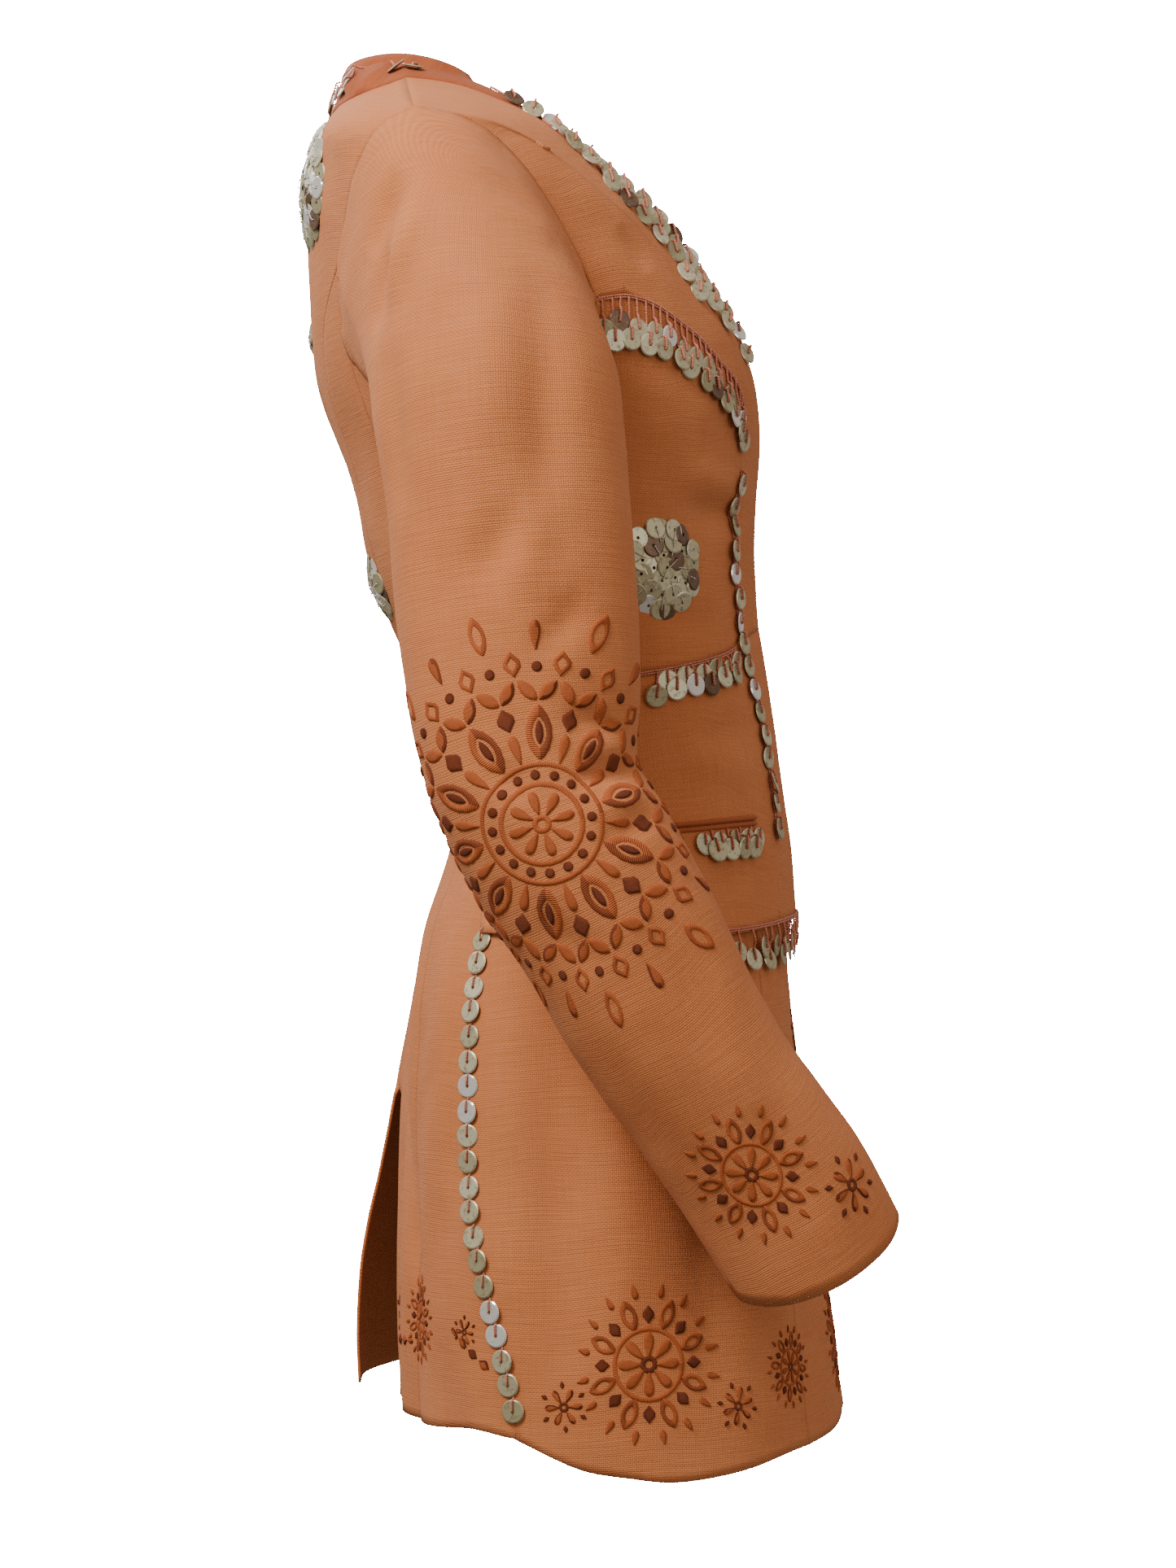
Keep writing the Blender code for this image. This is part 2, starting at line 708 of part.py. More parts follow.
def joined(*lines):
    """Lines end to end, without the doubled joints."""
    result = list(lines[0])
    for line in lines[1:]:
        result.extend(line[1:])
    return result


def make_front(side):
    waist_end = (CENTRE_FRONT, WAIST_FRONT_Z)
    v_point = LINES["lapel"][0]
    left = joined(straight(waist_end, v_point, CENTRE_FRONT_STEPS), LINES["lapel"])
    right = joined(LINES["front_line"][::-1], LINES["bust"][::-1])
    top = joined(LINES["shoulder"], LINES["arm_front"])
    return panel("front", flat_patch(LINES["front_waist"], top, left, right, True), side)


def make_bodice(side):
    top = joined(LINES["bust"][::-1], LINES["arm_low"])
    left = LINES["front_line"][::-1]
    right = LINES["side_top"][::-1]
    return panel("bodice", patch(LINES["side_waist"], top, left, right), side)


TIER_FALL_SHARE = 1.15


def tier_lift(turn, z):
    """The upper layer stands off the skirt more and more towards its ledge."""
    waist = seam_z(WAIST_SEAM, turn)
    ledge = seam_z(LEDGE, turn)
    fall = (waist - z) / (waist - ledge)
    flare = TIER_FLARE * smooth_step((LINES["side_tier"][-1][0] - turn) / FLARE_FADE)
    return (TIER_CLEARANCE + CLOTH + flare) * smooth_step(fall * TIER_FALL_SHARE)


def make_tier(side):
    top = joined(LINES["front_waist"], LINES["side_waist"])
    end = LINES["side_tier"][-1][0]
    bottom = [(turn * end / top[-1][0], seam_z(LEDGE, turn * end / top[-1][0])) for turn, z in top]
    bottom[-1] = LINES["side_tier"][-1]
    left = straight(bottom[0], top[0], TIER_ROWS)
    right = LINES["side_tier"][::-1]
    return panel("tier", patch(bottom, top, left, right), side, tier_lift)


SKIRT_TUCK = 0.010
TUCK_SLANT = 2.5
SKIRT_FRONT_COLUMNS = 5
SKIRT_SIDE_COLUMNS = 9


def skirt_part(start_turn, end_turn, columns):
    top = [(turn, z + SKIRT_TUCK) for turn, z in level_line(LEDGE, start_turn, end_turn[0], columns)]
    bottom = level_line(HEM, start_turn, end_turn[1], columns)
    return top, bottom


def make_skirt_front(side):
    top, bottom = skirt_part(CENTRE_FRONT, (SIDE_FRONT_SEAM_TURN,) * 2, SKIRT_FRONT_COLUMNS)
    left, right = [
        straight(bottom[k], (top[k][0], top[k][1] - SKIRT_TUCK), SKIRT_ROWS) + [top[k]] for k in (0, -1)]
    return panel("skirt_front", patch(bottom, top, left, right), side)


def make_skirt_side(side):
    seam = LINES["side_skirt"]
    ends = (seam[0][0], seam[-1][0])
    top, bottom = skirt_part(SIDE_FRONT_SEAM_TURN, ends, SKIRT_SIDE_COLUMNS)
    bottom[-1] = seam[-1]
    ledge = seam[0]
    above = LINES["side_tier"][-2]
    share = SKIRT_TUCK / (above[1] - ledge[1])
    tuck_turn, tuck_z = [a + (b - a) * share for a, b in zip(ledge, above)]
    top[-1] = (tuck_turn - TUCK_SLANT, tuck_z)
    left = straight(bottom[0], (top[0][0], top[0][1] - SKIRT_TUCK), SKIRT_ROWS) + [top[0]]
    right = seam[::-1] + [top[-1]]
    return panel("skirt_side", patch(bottom, top, left, right), side)


def make_side_back(side):
    left = joined(LINES["side_top"], LINES["side_tier"], LINES["side_skirt"])[::-1]
    right = LINES["back_seam"][::-1]
    bottom = level_line(HEM, left[0][0], right[0][0], ARMHOLE_STEPS["side"])
    bottom[0] = left[0]
    bottom[-1] = right[0]
    return panel("side_back", patch(bottom, LINES["arm_side"], left, right), side)


def make_back(side):
    left = joined(LINES["arm_back"][::-1], LINES["back_seam"])[::-1]
    rows = len(left) - 1
    hem = (CENTRE_BACK, HEM[-1].z)
    right = straight(hem, (CENTRE_BACK, NECK_Z), rows)
    neck_width = level("half_width", NECK_Z)
    neck = [turned_place((neck_width * (1 - k / BACK_NECK_STEPS), NECK_Z), False)
            for k in range(BACK_NECK_STEPS + 1)]
    top = joined(LINES["shoulder"][::-1], neck)
    bottom = level_line(HEM, left[0][0], CENTRE_BACK, BACK_COLUMNS)
    bottom[0] = left[0]
    return panel("back", flat_patch(bottom, top, left, right, False), side)


def mirrored(points, side):
    if side == RIGHT:
        return points
    return [Vector((-point.x, point.y, point.z)) for point in points]


def armhole_ring():
    """The armhole seam's points, from its highest point over the front and round."""
    loop = joined(LINES["arm_front"], LINES["arm_low"], LINES["arm_side"], LINES["arm_back"])[:-1]
    return [(body_point(turn, z), body_normal(turn, z)) for turn, z in loop]


def sleeve_rows():
    """Rings of outer points, from the armhole to the cuff."""
    ring = armhole_ring()
    count = len(ring)
    centre = sum((point for point, normal in ring), Vector()) / count
    first = SLEEVE_RINGS[0]
    ring_centre = Vector((first.x, (first.front_y + first.back_y) / 2, (first.front_z + first.back_z) / 2))
    angles = []
    for point, normal in ring:
        away = point - centre
        angles.append(math.atan2(away.z / ARMHOLE_HALF_HEIGHT, -away.y / ARMHOLE_HALF_WIDTH))
    rows = []
    starts = []
    for k, (point, normal) in enumerate(ring):
        tangent = (ring[(k + 1) % count][0] - ring[k - 1][0]).normalized()
        inwards = (centre - point)
        inwards -= normal * inwards.dot(normal)
        inwards -= tangent * inwards.dot(tangent)
        starts.append(point + inwards.normalized() * SEAM_GAP)
    rings = []
    for row in SLEEVE_RINGS:
        middle = Vector((row.x, (row.front_y + row.back_y) / 2, (row.front_z + row.back_z) / 2))
        forward = Vector((0, (row.front_y - row.back_y) / 2, (row.front_z - row.back_z) / 2))
        outward = Vector((-row.half_width, 0, -row.outer_drop))
        rings.append([middle + forward * math.cos(a) + outward * math.sin(a) for a in angles])
    arm_way = (Vector((SLEEVE_RINGS[1].x, 0, SLEEVE_RINGS[1].back_z))
               - Vector((first.x, 0, first.back_z))).normalized()
    rows.append(starts)
    for step in range(1, CAP_STEPS):
        t = step / CAP_STEPS
        line = []
        for start, end in zip(starts, rings[0]):
            reach = (end - start).length
            leave = (Vector((-1, 0, CAP_LEAVE_DROP)) + (end - start).normalized()).normalized() * reach
            arrive = arm_way * reach * CAP_ARRIVE_SHARE
            line.append(start * (2 * t ** 3 - 3 * t * t + 1) + end * (3 * t * t - 2 * t ** 3)
                        + leave * (t ** 3 - 2 * t * t + t) + arrive * (t ** 3 - t * t))
        rows.append(line)
    rows.extend(rings)
    return rows


def make_sleeve(side):
    rows = sleeve_rows()
    count = len(rows[0])
    outer = []
    inner = []
    for j, line in enumerate(rows):
        above = rows[max(j - 1, 0)]
        below = rows[min(j + 1, len(rows) - 1)]
        for i, point in enumerate(line):
            round_way = line[(i + 1) % count] - line[i - 1]
            down_way = below[i] - above[i]
            normal = round_way.cross(down_way).normalized()
            middle = sum(line, Vector()) / count
            if normal.dot(point - middle) < 0:
                normal = -normal
            outer.append(point)
            inner.append(point - normal * CLOTH)
    faces = grid_faces(len(rows) - 1, count, closed=True)
    return wall("sleeve_" + side_name(side), "cloth", mirrored(outer, side), mirrored(inner, side), faces)


COLLAR_ACROSS = 3
COLLAR_ROLL = 0.0016
COLLAR_CLEARANCE = TRIM_LIFT + COLLAR_WALL


def collar_edges():
    """Pairs of inner and outer edge points of the right half, from the back to the V."""
    pairs = []
    for row in COLLAR:
        inner = Vector((row.x, row.y, row.z))
        outer = on_body(row.outer_turn, row.outer_z, RIGHT, COLLAR_CLEARANCE)
        pairs.append((inner, outer))
    for row in LAPEL:
        inner = on_body(turn_from_x(row.x, row.z), row.z, RIGHT, COLLAR_CLEARANCE + 0.0006)
        outer = on_body(turn_from_x(row.outer_x, row.outer_z), row.outer_z, RIGHT, COLLAR_CLEARANCE)
        pairs.append((inner, outer))
    return pairs


def curve_through(points, count):
    """Equal steps on a smooth curve through points in space."""
    fine = []
    per_span = 6
    for i in range(len(points) - 1):
        a = points[max(i - 1, 0)]
        b = points[i]
        c = points[i + 1]
        d = points[min(i + 2, len(points) - 1)]
        for k in range(per_span):
            t = k / per_span
            fine.append((b * 2 + (c - a) * t + (a * 2 - b * 5 + c * 4 - d) * t * t
                         + (b * 3 - a - c * 3 + d) * t ** 3) / 2)
    fine.append(points[-1])
    lengths = [0.0]
    for first, second in zip(fine, fine[1:]):
        lengths.append(lengths[-1] + (second - first).length)
    result = []
    for k in range(count + 1):
        target = lengths[-1] * k / count
        i = 0
        while i < len(lengths) - 2 and target > lengths[i + 1]:
            i += 1
        t = (target - lengths[i]) / (lengths[i + 1] - lengths[i])
        result.append(fine[i].lerp(fine[i + 1], t))
    return result


COLLAR_HALF_STEPS = 24


def collar_grid():
    """Rows of outer-face points round the whole neck, from the right V to the left V."""
    pairs = collar_edges()
    inner = curve_through([pair[0] for pair in pairs], COLLAR_HALF_STEPS)
    outer = curve_through([pair[1] for pair in pairs], COLLAR_HALF_STEPS)
    half = []
    for first, last in zip(inner, outer):
        across = last - first
        line = []
        for k in range(COLLAR_ACROSS + 1):
            t = k / COLLAR_ACROSS
            line.append(first + across * t)
        half.append(line)
    right = half[::-1]
    left = [[Vector((-point.x, point.y, point.z)) for point in line] for line in half[1:]]
    return right + left


def grid_normals(grid):
    """Outward directions of a grid of points, away from the neck's middle."""
    normals = []
    rows = len(grid)
    columns = len(grid[0])
    for j in range(rows):
        line = []
        for i in range(columns):
            along = grid[min(j + 1, rows - 1)][i] - grid[max(j - 1, 0)][i]
            across = grid[j][min(i + 1, columns - 1)] - grid[j][max(i - 1, 0)]
            line.append(along.cross(across).normalized())
        normals.append(line)
    return normals


def make_collar():
    grid = collar_grid()
    normals = grid_normals(grid)
    outer = []
    inner = []
    for line, ways in zip(grid, normals):
        for k, (point, normal) in enumerate(zip(line, ways)):
            t = k / COLLAR_ACROSS
            roll = COLLAR_ROLL * math.sin(math.pi * t)
            place = point + normal * roll
            under = Ground.under(place, normal)
            rise = COLLAR_CLEARANCE - (place - under).dot(normal)
            if under is not place and rise > 0:
                place += normal * rise
            outer.append(place)
            inner.append(place - normal * COLLAR_WALL)
    return wall("collar", "collar", outer, inner, grid_faces(len(grid) - 1, COLLAR_ACROSS))


def trim_points(path, side, count):
    """Equal steps along a line on the body with the frame at each step."""
    steps = smooth_line(path, count)
    frames = []
    for k, (turn, z) in enumerate(steps):
        ahead = steps[min(k + 1, count)]
        behind = steps[max(k - 1, 0)]
        along = body_point(*ahead, side) - body_point(*behind, side)
        normal = body_normal(turn, z, side)
        along = (along - normal * along.dot(normal)).normalized()
        frames.append((body_point(turn, z, side), along, normal))
    return frames


class Ground:
    """The faces of the pieces made so far, on which trims are laid."""

    tree = None
    reach = 0.012

    @classmethod
    def gather(cls):
        points = []
        faces = []
        for thing in bpy.data.objects:
            start = len(points)
            points.extend(vertex.co.copy() for vertex in thing.data.vertices)
            faces.extend([start + k for k in face.vertices] for face in thing.data.polygons)
        cls.tree = BVHTree.FromPolygons(points, faces)

    @classmethod
    def under(cls, point, normal):
        """The place on the cloth straight under a point, or the point where there is none."""
        place = cls.tree.ray_cast(point + normal * cls.reach, -normal, 2 * cls.reach)[0]
        return place if place else point


def laid(turn, z, side, lift):
    """A point of a trim that lies on the cloth at a turn and height."""
    normal = body_normal(turn, z, side)
    return Ground.under(body_point(turn, z, side), normal) + normal * lift


WALK_STEPS = 4


def walk(turn, z, sideways, rise, side):
    """Goes from a place on the body by lengths of cloth, round it and up or down it."""
    probe_turn = 0.5
    probe_z = 0.002
    for step in range(WALK_STEPS):
        base = min(max(turn, probe_turn), CENTRE_BACK - probe_turn)
        round_length = (body_point(base + probe_turn, z, side)
                        - body_point(base - probe_turn, z, side)).length / (2 * probe_turn)
        up_length = (body_point(turn, z + probe_z, side)
                     - body_point(turn, z - probe_z, side)).length / (2 * probe_z)
        turn += sideways / WALK_STEPS / round_length
        z += rise / WALK_STEPS / up_length
    return turn, z


OVERLAP_HEIGHT = 1.9 * DISC_THICKNESS
NOTCH_HEIGHT = 1.2 * DISC_THICKNESS


def make_disc_row(name, frames, widths, lift=TRIM_LIFT):
    """A row of overlapping discs as one scalloped strip."""
    outer = []
    inner = []
    for k, (point, along, normal) in enumerate(frames):
        across = normal.cross(along).normalized()
        middle = k % 2 == 1
        half = (widths[0] if middle else widths[1]) / 2
        if k in (0, len(frames) - 1):
            half = widths[1] / 3
        height = lift + (OVERLAP_HEIGHT if middle else NOTCH_HEIGHT)
        for reach in (-half, 0.0, half):
            foot = Ground.under(point + across * reach, normal)
            outer.append(foot + normal * height)
            inner.append(foot + normal * lift)
    return wall(name, "trim", outer, inner, grid_faces(len(frames) - 1, 2))


DISC_OVERLAP_WIDTH = 0.0085
FRONT_ROW_TOP_Z = -0.2160
FRONT_ROW_DISCS = 16


def make_front_row(side):
    upper = smooth_line(front_marks_to_line(FRONT_LINE), 30)
    lower = smooth_line(front_marks_to_line(TIER_LINE), 30)
    path = joined(upper, lower)
    path = cut_line(path, FRONT_ROW_TOP_Z)[1]
    frames = trim_points(path, side, 2 * FRONT_ROW_DISCS)
    widths = (DISC_DIAMETER, DISC_OVERLAP_WIDTH)
    return make_disc_row("front_discs_" + side_name(side), frames, widths)


SIDE_ROW_TOP_Z = -0.4600
SIDE_ROW_HANG = 0.0040
SIDE_ROW_LIFT = 0.0019
SIDE_ROW_DISCS = 22


def make_side_row(side):
    line = cut_line(smooth_line(marks_to_line(SIDE_SEAM), 80), SIDE_ROW_TOP_Z)[1]
    line = cut_line(line, line_meets(line, HEM) - SIDE_ROW_HANG)[0]
    frames = trim_points(line, side, 2 * SIDE_ROW_DISCS)
    widths = (DISC_DIAMETER, DISC_OVERLAP_WIDTH)
    return make_disc_row("side_discs_" + side_name(side), frames, widths, SIDE_ROW_LIFT)


COLLAR_ROW_WIDTH = 0.021
COLLAR_ROW_NOTCH = 0.018
COLLAR_ROW_DISCS = 36
COLLAR_ROW_LIFT = 0.0015
COLLAR_ROW_PLACE = 0.62
COLLAR_ROW_TURN = 0.6
COLLAR_ROW_ROLL = 0.93 * COLLAR_ROLL


def make_collar_row():
    grid = collar_grid()
    normals = grid_normals(grid)
    middle = []
    ways = []
    for line, directions in zip(grid, normals):
        middle.append(line[1].lerp(line[2], COLLAR_ROW_PLACE) + directions[2] * COLLAR_ROW_ROLL)
        ways.append(directions[1].lerp(directions[2], COLLAR_ROW_TURN).normalized())
    middle = middle[1:-1]
    ways = ways[1:-1]
    count = 2 * COLLAR_ROW_DISCS
    points = curve_through(middle, count)
    frames = []
    for k, point in enumerate(points):
        ahead = points[min(k + 1, count)]
        behind = points[max(k - 1, 0)]
        nearest = min(range(len(middle)), key=lambda i: (middle[i] - point).length)
        normal = ways[nearest]
        along = ahead - behind
        along = (along - normal * along.dot(normal)).normalized()
        frames.append((point, along, normal))
    widths = (COLLAR_ROW_WIDTH, COLLAR_ROW_NOTCH)
    return make_disc_row("collar_discs", frames, widths, COLLAR_ROW_LIFT)


Fringe = namedtuple("Fringe", "name cord strip")
BUST_FRINGE = Fringe("bust_fringe", 0.0150, BRAID_WIDTH)
WAIST_FRINGE = Fringe("waist_fringe", 0.0070, BRAID_WIDTH)
TIER_FRINGE = Fringe("tier_fringe", 0.0120, BRAID_WIDTH)
WELT_FRINGE = Fringe("pocket_welt", 0.0060, 0.0065)
DISC_PITCH = 0.0129
DISC_NECK = 0.0060
DISC_NECK_DROP = 0.0012


def make_fringe(fringe, path, side):
    """A strip along a seam with corded discs that hang from it, side by side."""
    sections = [
        (0.0, CORD_WIDTH),
        (fringe.cord, CORD_WIDTH),
        (fringe.cord + DISC_NECK_DROP, DISC_NECK),
        (fringe.cord + DISC_DIAMETER / 2, DISC_DIAMETER),
        (fringe.cord + DISC_DIAMETER, DISC_NECK),
    ]
    places = [body_point(turn, z) for turn, z in path]
    length = sum((second - first).length for first, second in zip(places, places[1:]))
    discs = int(length / DISC_PITCH)
    steps = smooth_line(path, 2 * discs)
    outer = []
    inner = []
    faces = []

    def add(turn, z, sideways, drop):
        turn_here, low_z = walk(turn, z, sideways, -drop, side)
        outer.append(laid(turn_here, low_z, side, TRIM_LIFT + DISC_THICKNESS))
        inner.append(laid(turn_here, low_z, side, TRIM_LIFT))
        return len(outer) - 1

    tops = []
    lows = []
    half = CORD_WIDTH / 2
    for k, (turn, z) in enumerate(steps):
        hanging = k % 2 == 1
        offsets = (-half, half) if hanging else ()
        for reach in offsets:
            tops.append(add(turn, z, reach, 0.0))
            lows.append(add(turn, z, reach, fringe.strip))
    for k in range(len(tops) - 1):
        faces.append([tops[k], lows[k], lows[k + 1], tops[k + 1]])
    for k in range(discs):
        turn, z = steps[2 * k + 1]
        left = lows[2 * k]
        right = lows[2 * k + 1]
        for drop, width in sections[1:]:
            new_left = add(turn, z, -width / 2, fringe.strip + drop)
            new_right = add(turn, z, width / 2, fringe.strip + drop)
            faces.append([left, new_left, new_right, right])
            left = new_left
            right = new_right
    return wall(fringe.name + "_" + side_name(side), "trim", outer, inner, faces)


def part_of_line(line, start, end):
    first = int(round(start * (len(line) - 1)))
    last = int(round(end * (len(line) - 1)))
    return line[first:last + 1]


# Where the fringes begin and end, in turns from the seams that they lie between
FRINGE_STEPS = 40
BUST_FRINGE_START = 0.04
BUST_FRINGE_END = 0.83
WAIST_FRINGE_IN = 8.5
WAIST_FRINGE_OUT = 14.0
TIER_FRINGE_START_TURN = 3.0
TIER_FRINGE_OUT = 30.0
TIER_FRINGE_DROP = 0.0006
WELT_IN = 11.0
WELT_TURNS = 33.0
WELT_Z = -0.3960
WELT_DROP_PER_TURN = 0.00012


def make_fringes(side):
    bust = smooth_line(bust_line(), FRINGE_STEPS + FRINGE_STEPS // 2)
    make_fringe(BUST_FRINGE, part_of_line(bust, BUST_FRINGE_START, BUST_FRINGE_END)[::-1], side)
    front_turn = LINES["front_line"][-1][0]
    side_turn = LINES["side_top"][-1][0]
    waist = level_line(WAIST_SEAM, front_turn + WAIST_FRINGE_IN, side_turn - WAIST_FRINGE_OUT, FRINGE_STEPS)
    make_fringe(WAIST_FRINGE, waist, side)
    ledge = level_line(LEDGE, TIER_FRINGE_START_TURN, side_turn - TIER_FRINGE_OUT, FRINGE_STEPS)
    make_fringe(TIER_FRINGE, [(turn, z - TIER_FRINGE_DROP) for turn, z in ledge], side)
    start = (front_turn + WELT_IN, WELT_Z)
    end = (start[0] + WELT_TURNS, WELT_Z - WELT_DROP_PER_TURN * WELT_TURNS)
    make_fringe(WELT_FRINGE, straight(start, end, FRINGE_STEPS // 2), side)


ROSETTE_POINTS = 16
ROSETTE_EDGE_NOTCH = 0.0022
ROSETTE_HEIGHTS = {0.0: 0.0046, 0.35: 0.0044, 0.7: 0.0034, 1.0: 0.0016}


def make_rosette(rosette, side):
    """A round mound of overlapping discs with a scalloped edge."""
    outer = []
    inner = []

    def add(share, k):
        angle = 2 * math.pi * k / ROSETTE_POINTS
        radius = rosette.radius * share
        if share == 1.0 and k % 2:
            radius -= ROSETTE_EDGE_NOTCH
        turn, z = walk(rosette.turn, rosette.z, radius * math.cos(angle), radius * math.sin(angle), side)
        here_side = side
        if turn > CENTRE_BACK:
            turn = 2 * CENTRE_BACK - turn
            here_side = -side
        height = ROSETTE_HEIGHTS[share]
        outer.append(laid(turn, z, here_side, TRIM_LIFT + height))
        inner.append(laid(turn, z, here_side, TRIM_LIFT))
        return len(outer) - 1

    centre = add(0.0, 0)
    rings = [[add(share, k) for k in range(ROSETTE_POINTS)] for share in list(ROSETTE_HEIGHTS)[1:]]
    faces = []
    for k in range(ROSETTE_POINTS):
        after = (k + 1) % ROSETTE_POINTS
        faces.append([centre, rings[0][k], rings[0][after]])
        for near, far in zip(rings, rings[1:]):
            faces.append([near[k], far[k], far[after], near[after]])
    name = rosette.name
    if len(rosette.sides) > 1:
        name += "_" + side_name(side)
    return wall(name, "trim", outer, inner, faces)


def clear_scene():
    for thing in list(bpy.data.objects):
        bpy.data.objects.remove(thing, do_unlink=True)


def main():
    clear_scene()
    for side in (RIGHT, LEFT):
        make_front(side)
        make_bodice(side)
        make_tier(side)
        make_skirt_front(side)
        make_skirt_side(side)
        make_side_back(side)
        make_back(side)
    Ground.gather()
    make_collar()
    Ground.gather()
    make_collar_row()
    for side in (RIGHT, LEFT):
        make_front_row(side)
        make_side_row(side)
        make_fringes(side)
        make_sleeve(side)
    for rosette in ROSETTES:
        for side in rosette.sides:
            make_rosette(rosette, side)


main()
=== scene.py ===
# %% [markdown]
# # A fitted blazer sewn with corded discs
# The blazer keeps its worn shape and is hollow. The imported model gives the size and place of
# every piece. This lesson gives them their looks, one kind of piece at a time: the cloth with
# its folds and weave, the cords and metal discs, and the embroidery.

# %% Load the frame
import math
import random
from collections import namedtuple

import bmesh
import bpy
import numpy as np
from mathutils import Matrix, Vector, noise
from mathutils.bvhtree import BVHTree
from mathutils.kdtree import KDTree


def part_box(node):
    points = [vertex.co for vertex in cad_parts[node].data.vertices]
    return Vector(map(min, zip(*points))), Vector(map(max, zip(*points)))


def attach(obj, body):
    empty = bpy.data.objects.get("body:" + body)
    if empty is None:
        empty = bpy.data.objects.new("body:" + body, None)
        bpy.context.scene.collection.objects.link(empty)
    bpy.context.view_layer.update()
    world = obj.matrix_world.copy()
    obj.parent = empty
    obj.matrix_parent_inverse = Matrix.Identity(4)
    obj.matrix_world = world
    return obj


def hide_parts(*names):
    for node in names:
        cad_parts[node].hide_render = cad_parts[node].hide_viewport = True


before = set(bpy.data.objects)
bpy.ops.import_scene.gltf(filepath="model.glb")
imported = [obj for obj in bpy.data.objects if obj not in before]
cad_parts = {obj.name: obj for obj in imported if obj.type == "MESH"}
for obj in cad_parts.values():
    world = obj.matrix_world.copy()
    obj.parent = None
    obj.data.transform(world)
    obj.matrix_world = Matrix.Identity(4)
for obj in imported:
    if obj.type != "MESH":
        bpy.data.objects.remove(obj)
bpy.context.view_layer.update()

RIGHT = -1
LEFT = 1
SIDES = {RIGHT: "right", LEFT: "left"}
print("pieces in the frame:", len(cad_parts))

# %% [markdown]
# ## Camera
# The photograph looks straight at the jacket's right side from nearly two metres away, level
# with the hip. The lens follows from the distance and from how tall the jacket is in view.

# %% Camera
PHOTO_HEIGHT = 1927
FOCAL_PIXELS = 4000.0
SENSOR = 36.0
CAMERA_PLACE = Vector((-1.80, -0.094, -0.379))

camera_data = bpy.data.cameras.new("camera")
camera_data.sensor_fit = "VERTICAL"
camera_data.sensor_height = SENSOR
camera_data.lens = SENSOR * FOCAL_PIXELS / PHOTO_HEIGHT
camera = bpy.data.objects.new("camera", camera_data)
camera.location = CAMERA_PLACE
camera.rotation_euler = (math.pi / 2, 0.0, -math.pi / 2)
bpy.context.scene.collection.objects.link(camera)
bpy.context.scene.camera = camera
print("lens", round(camera_data.lens, 1), "mm")

# %% [markdown]
# ## Light
# The photograph is cut out on white. The main soft light comes from above, to the camera's
# left, and close enough that the jacket darkens towards its hem. The front of the body falls
# into the sleeve's shade, which a weak lamp from in front opens. A third lamp brightens the
# edges of the far side.

# %% Lights
Lamp = namedtuple("Lamp", "name place size power")
LAMPS = [
    Lamp("main_light", (-1.10, 0.75, 0.85), 0.7, 41.0),
    Lamp("front_light", (-1.5, -1.6, 0.1), 1.0, 6.0),
    Lamp("far_light", (1.8, 0.9, 1.0), 1.2, 26.0),
]
LIT_POINT = Vector((0.0, -0.03, 0.05))

for lamp in LAMPS:
    light = bpy.data.lights.new(lamp.name, "AREA")
    light.energy = lamp.power
    light.size = lamp.size
    holder = bpy.data.objects.new(lamp.name, light)
    holder.location = lamp.place
    way = LIT_POINT - Vector(lamp.place)
    holder.rotation_euler = way.to_track_quat("-Z", "Y").to_euler()
    bpy.context.scene.collection.objects.link(holder)

print("lights:", [lamp.name for lamp in LAMPS])

# %% [markdown]
# ## Helpers for materials
# A shader node is placed by its type name, and each of its inputs gets either a value or a
# link. With these two helpers a material reads from top to bottom like a recipe.

# %% Node helpers


def add_node(tree, kind, settings=None, **inputs):
    """Places a node. An input is a value, or another node's output."""
    node = tree.nodes.new(kind)
    for name, value in (settings or {}).items():
        setattr(node, name, value)
    for name, value in inputs.items():
        key = int(name[1:]) if name[0] == "i" and name[1:].isdigit() else name.replace("_", " ")
        if isinstance(value, bpy.types.NodeSocket):
            tree.links.new(value, node.inputs[key])
        else:
            node.inputs[key].default_value = value
    return node


def maths(tree, operation, first, second=0.0):
    return add_node(tree, "ShaderNodeMath", {"operation": operation}, i0=first, i1=second).outputs[0]


def blend_colours(tree, share, first, second):
    node = add_node(tree, "ShaderNodeMix", {"data_type": "RGBA"})
    for place, value in ((0, share), (6, first), (7, second)):
        if isinstance(value, bpy.types.NodeSocket):
            tree.links.new(value, node.inputs[place])
        else:
            node.inputs[place].default_value = value
    return node.outputs[2]


def spread(tree, value, low, high, new_low=0.0, new_high=1.0):
    """Stretches a range of values to another range, and stops at its ends."""
    node = add_node(tree, "ShaderNodeMapRange", Value=value)
    for name, number in (("From Min", low), ("From Max", high), ("To Min", new_low), ("To Max", new_high)):
        node.inputs[name].default_value = number
    return node.outputs[0]


def new_group(name, inputs, outputs):
    """An empty node group with named sockets: (name, kind, default) and (name, kind)."""
    group = bpy.data.node_groups.new(name, "ShaderNodeTree")
    for label, kind, default in inputs:
        socket = group.interface.new_socket(name=label, in_out="INPUT", socket_type=kind)
        if default is not None:
            socket.default_value = default
    for label, kind in outputs:
        group.interface.new_socket(name=label, in_out="OUTPUT", socket_type=kind)
    entry = group.nodes.new("NodeGroupInput")
    exit_node = group.nodes.new("NodeGroupOutput")
    return group, entry.outputs, exit_node.inputs


def new_material(name):
    material = bpy.data.materials.new(name)
    material.use_nodes = True
    return material, material.node_tree, material.node_tree.nodes["Principled BSDF"]


FLOAT = "NodeSocketFloat"
VECTOR = "NodeSocketVector"
COLOUR = "NodeSocketColor"

# %% [markdown]
# ## The white room
# A weak, warm light from all round opens the shadows, less of it from below. Only the camera
# sees the room as pure white, so the white doesn't bleach the cloth.

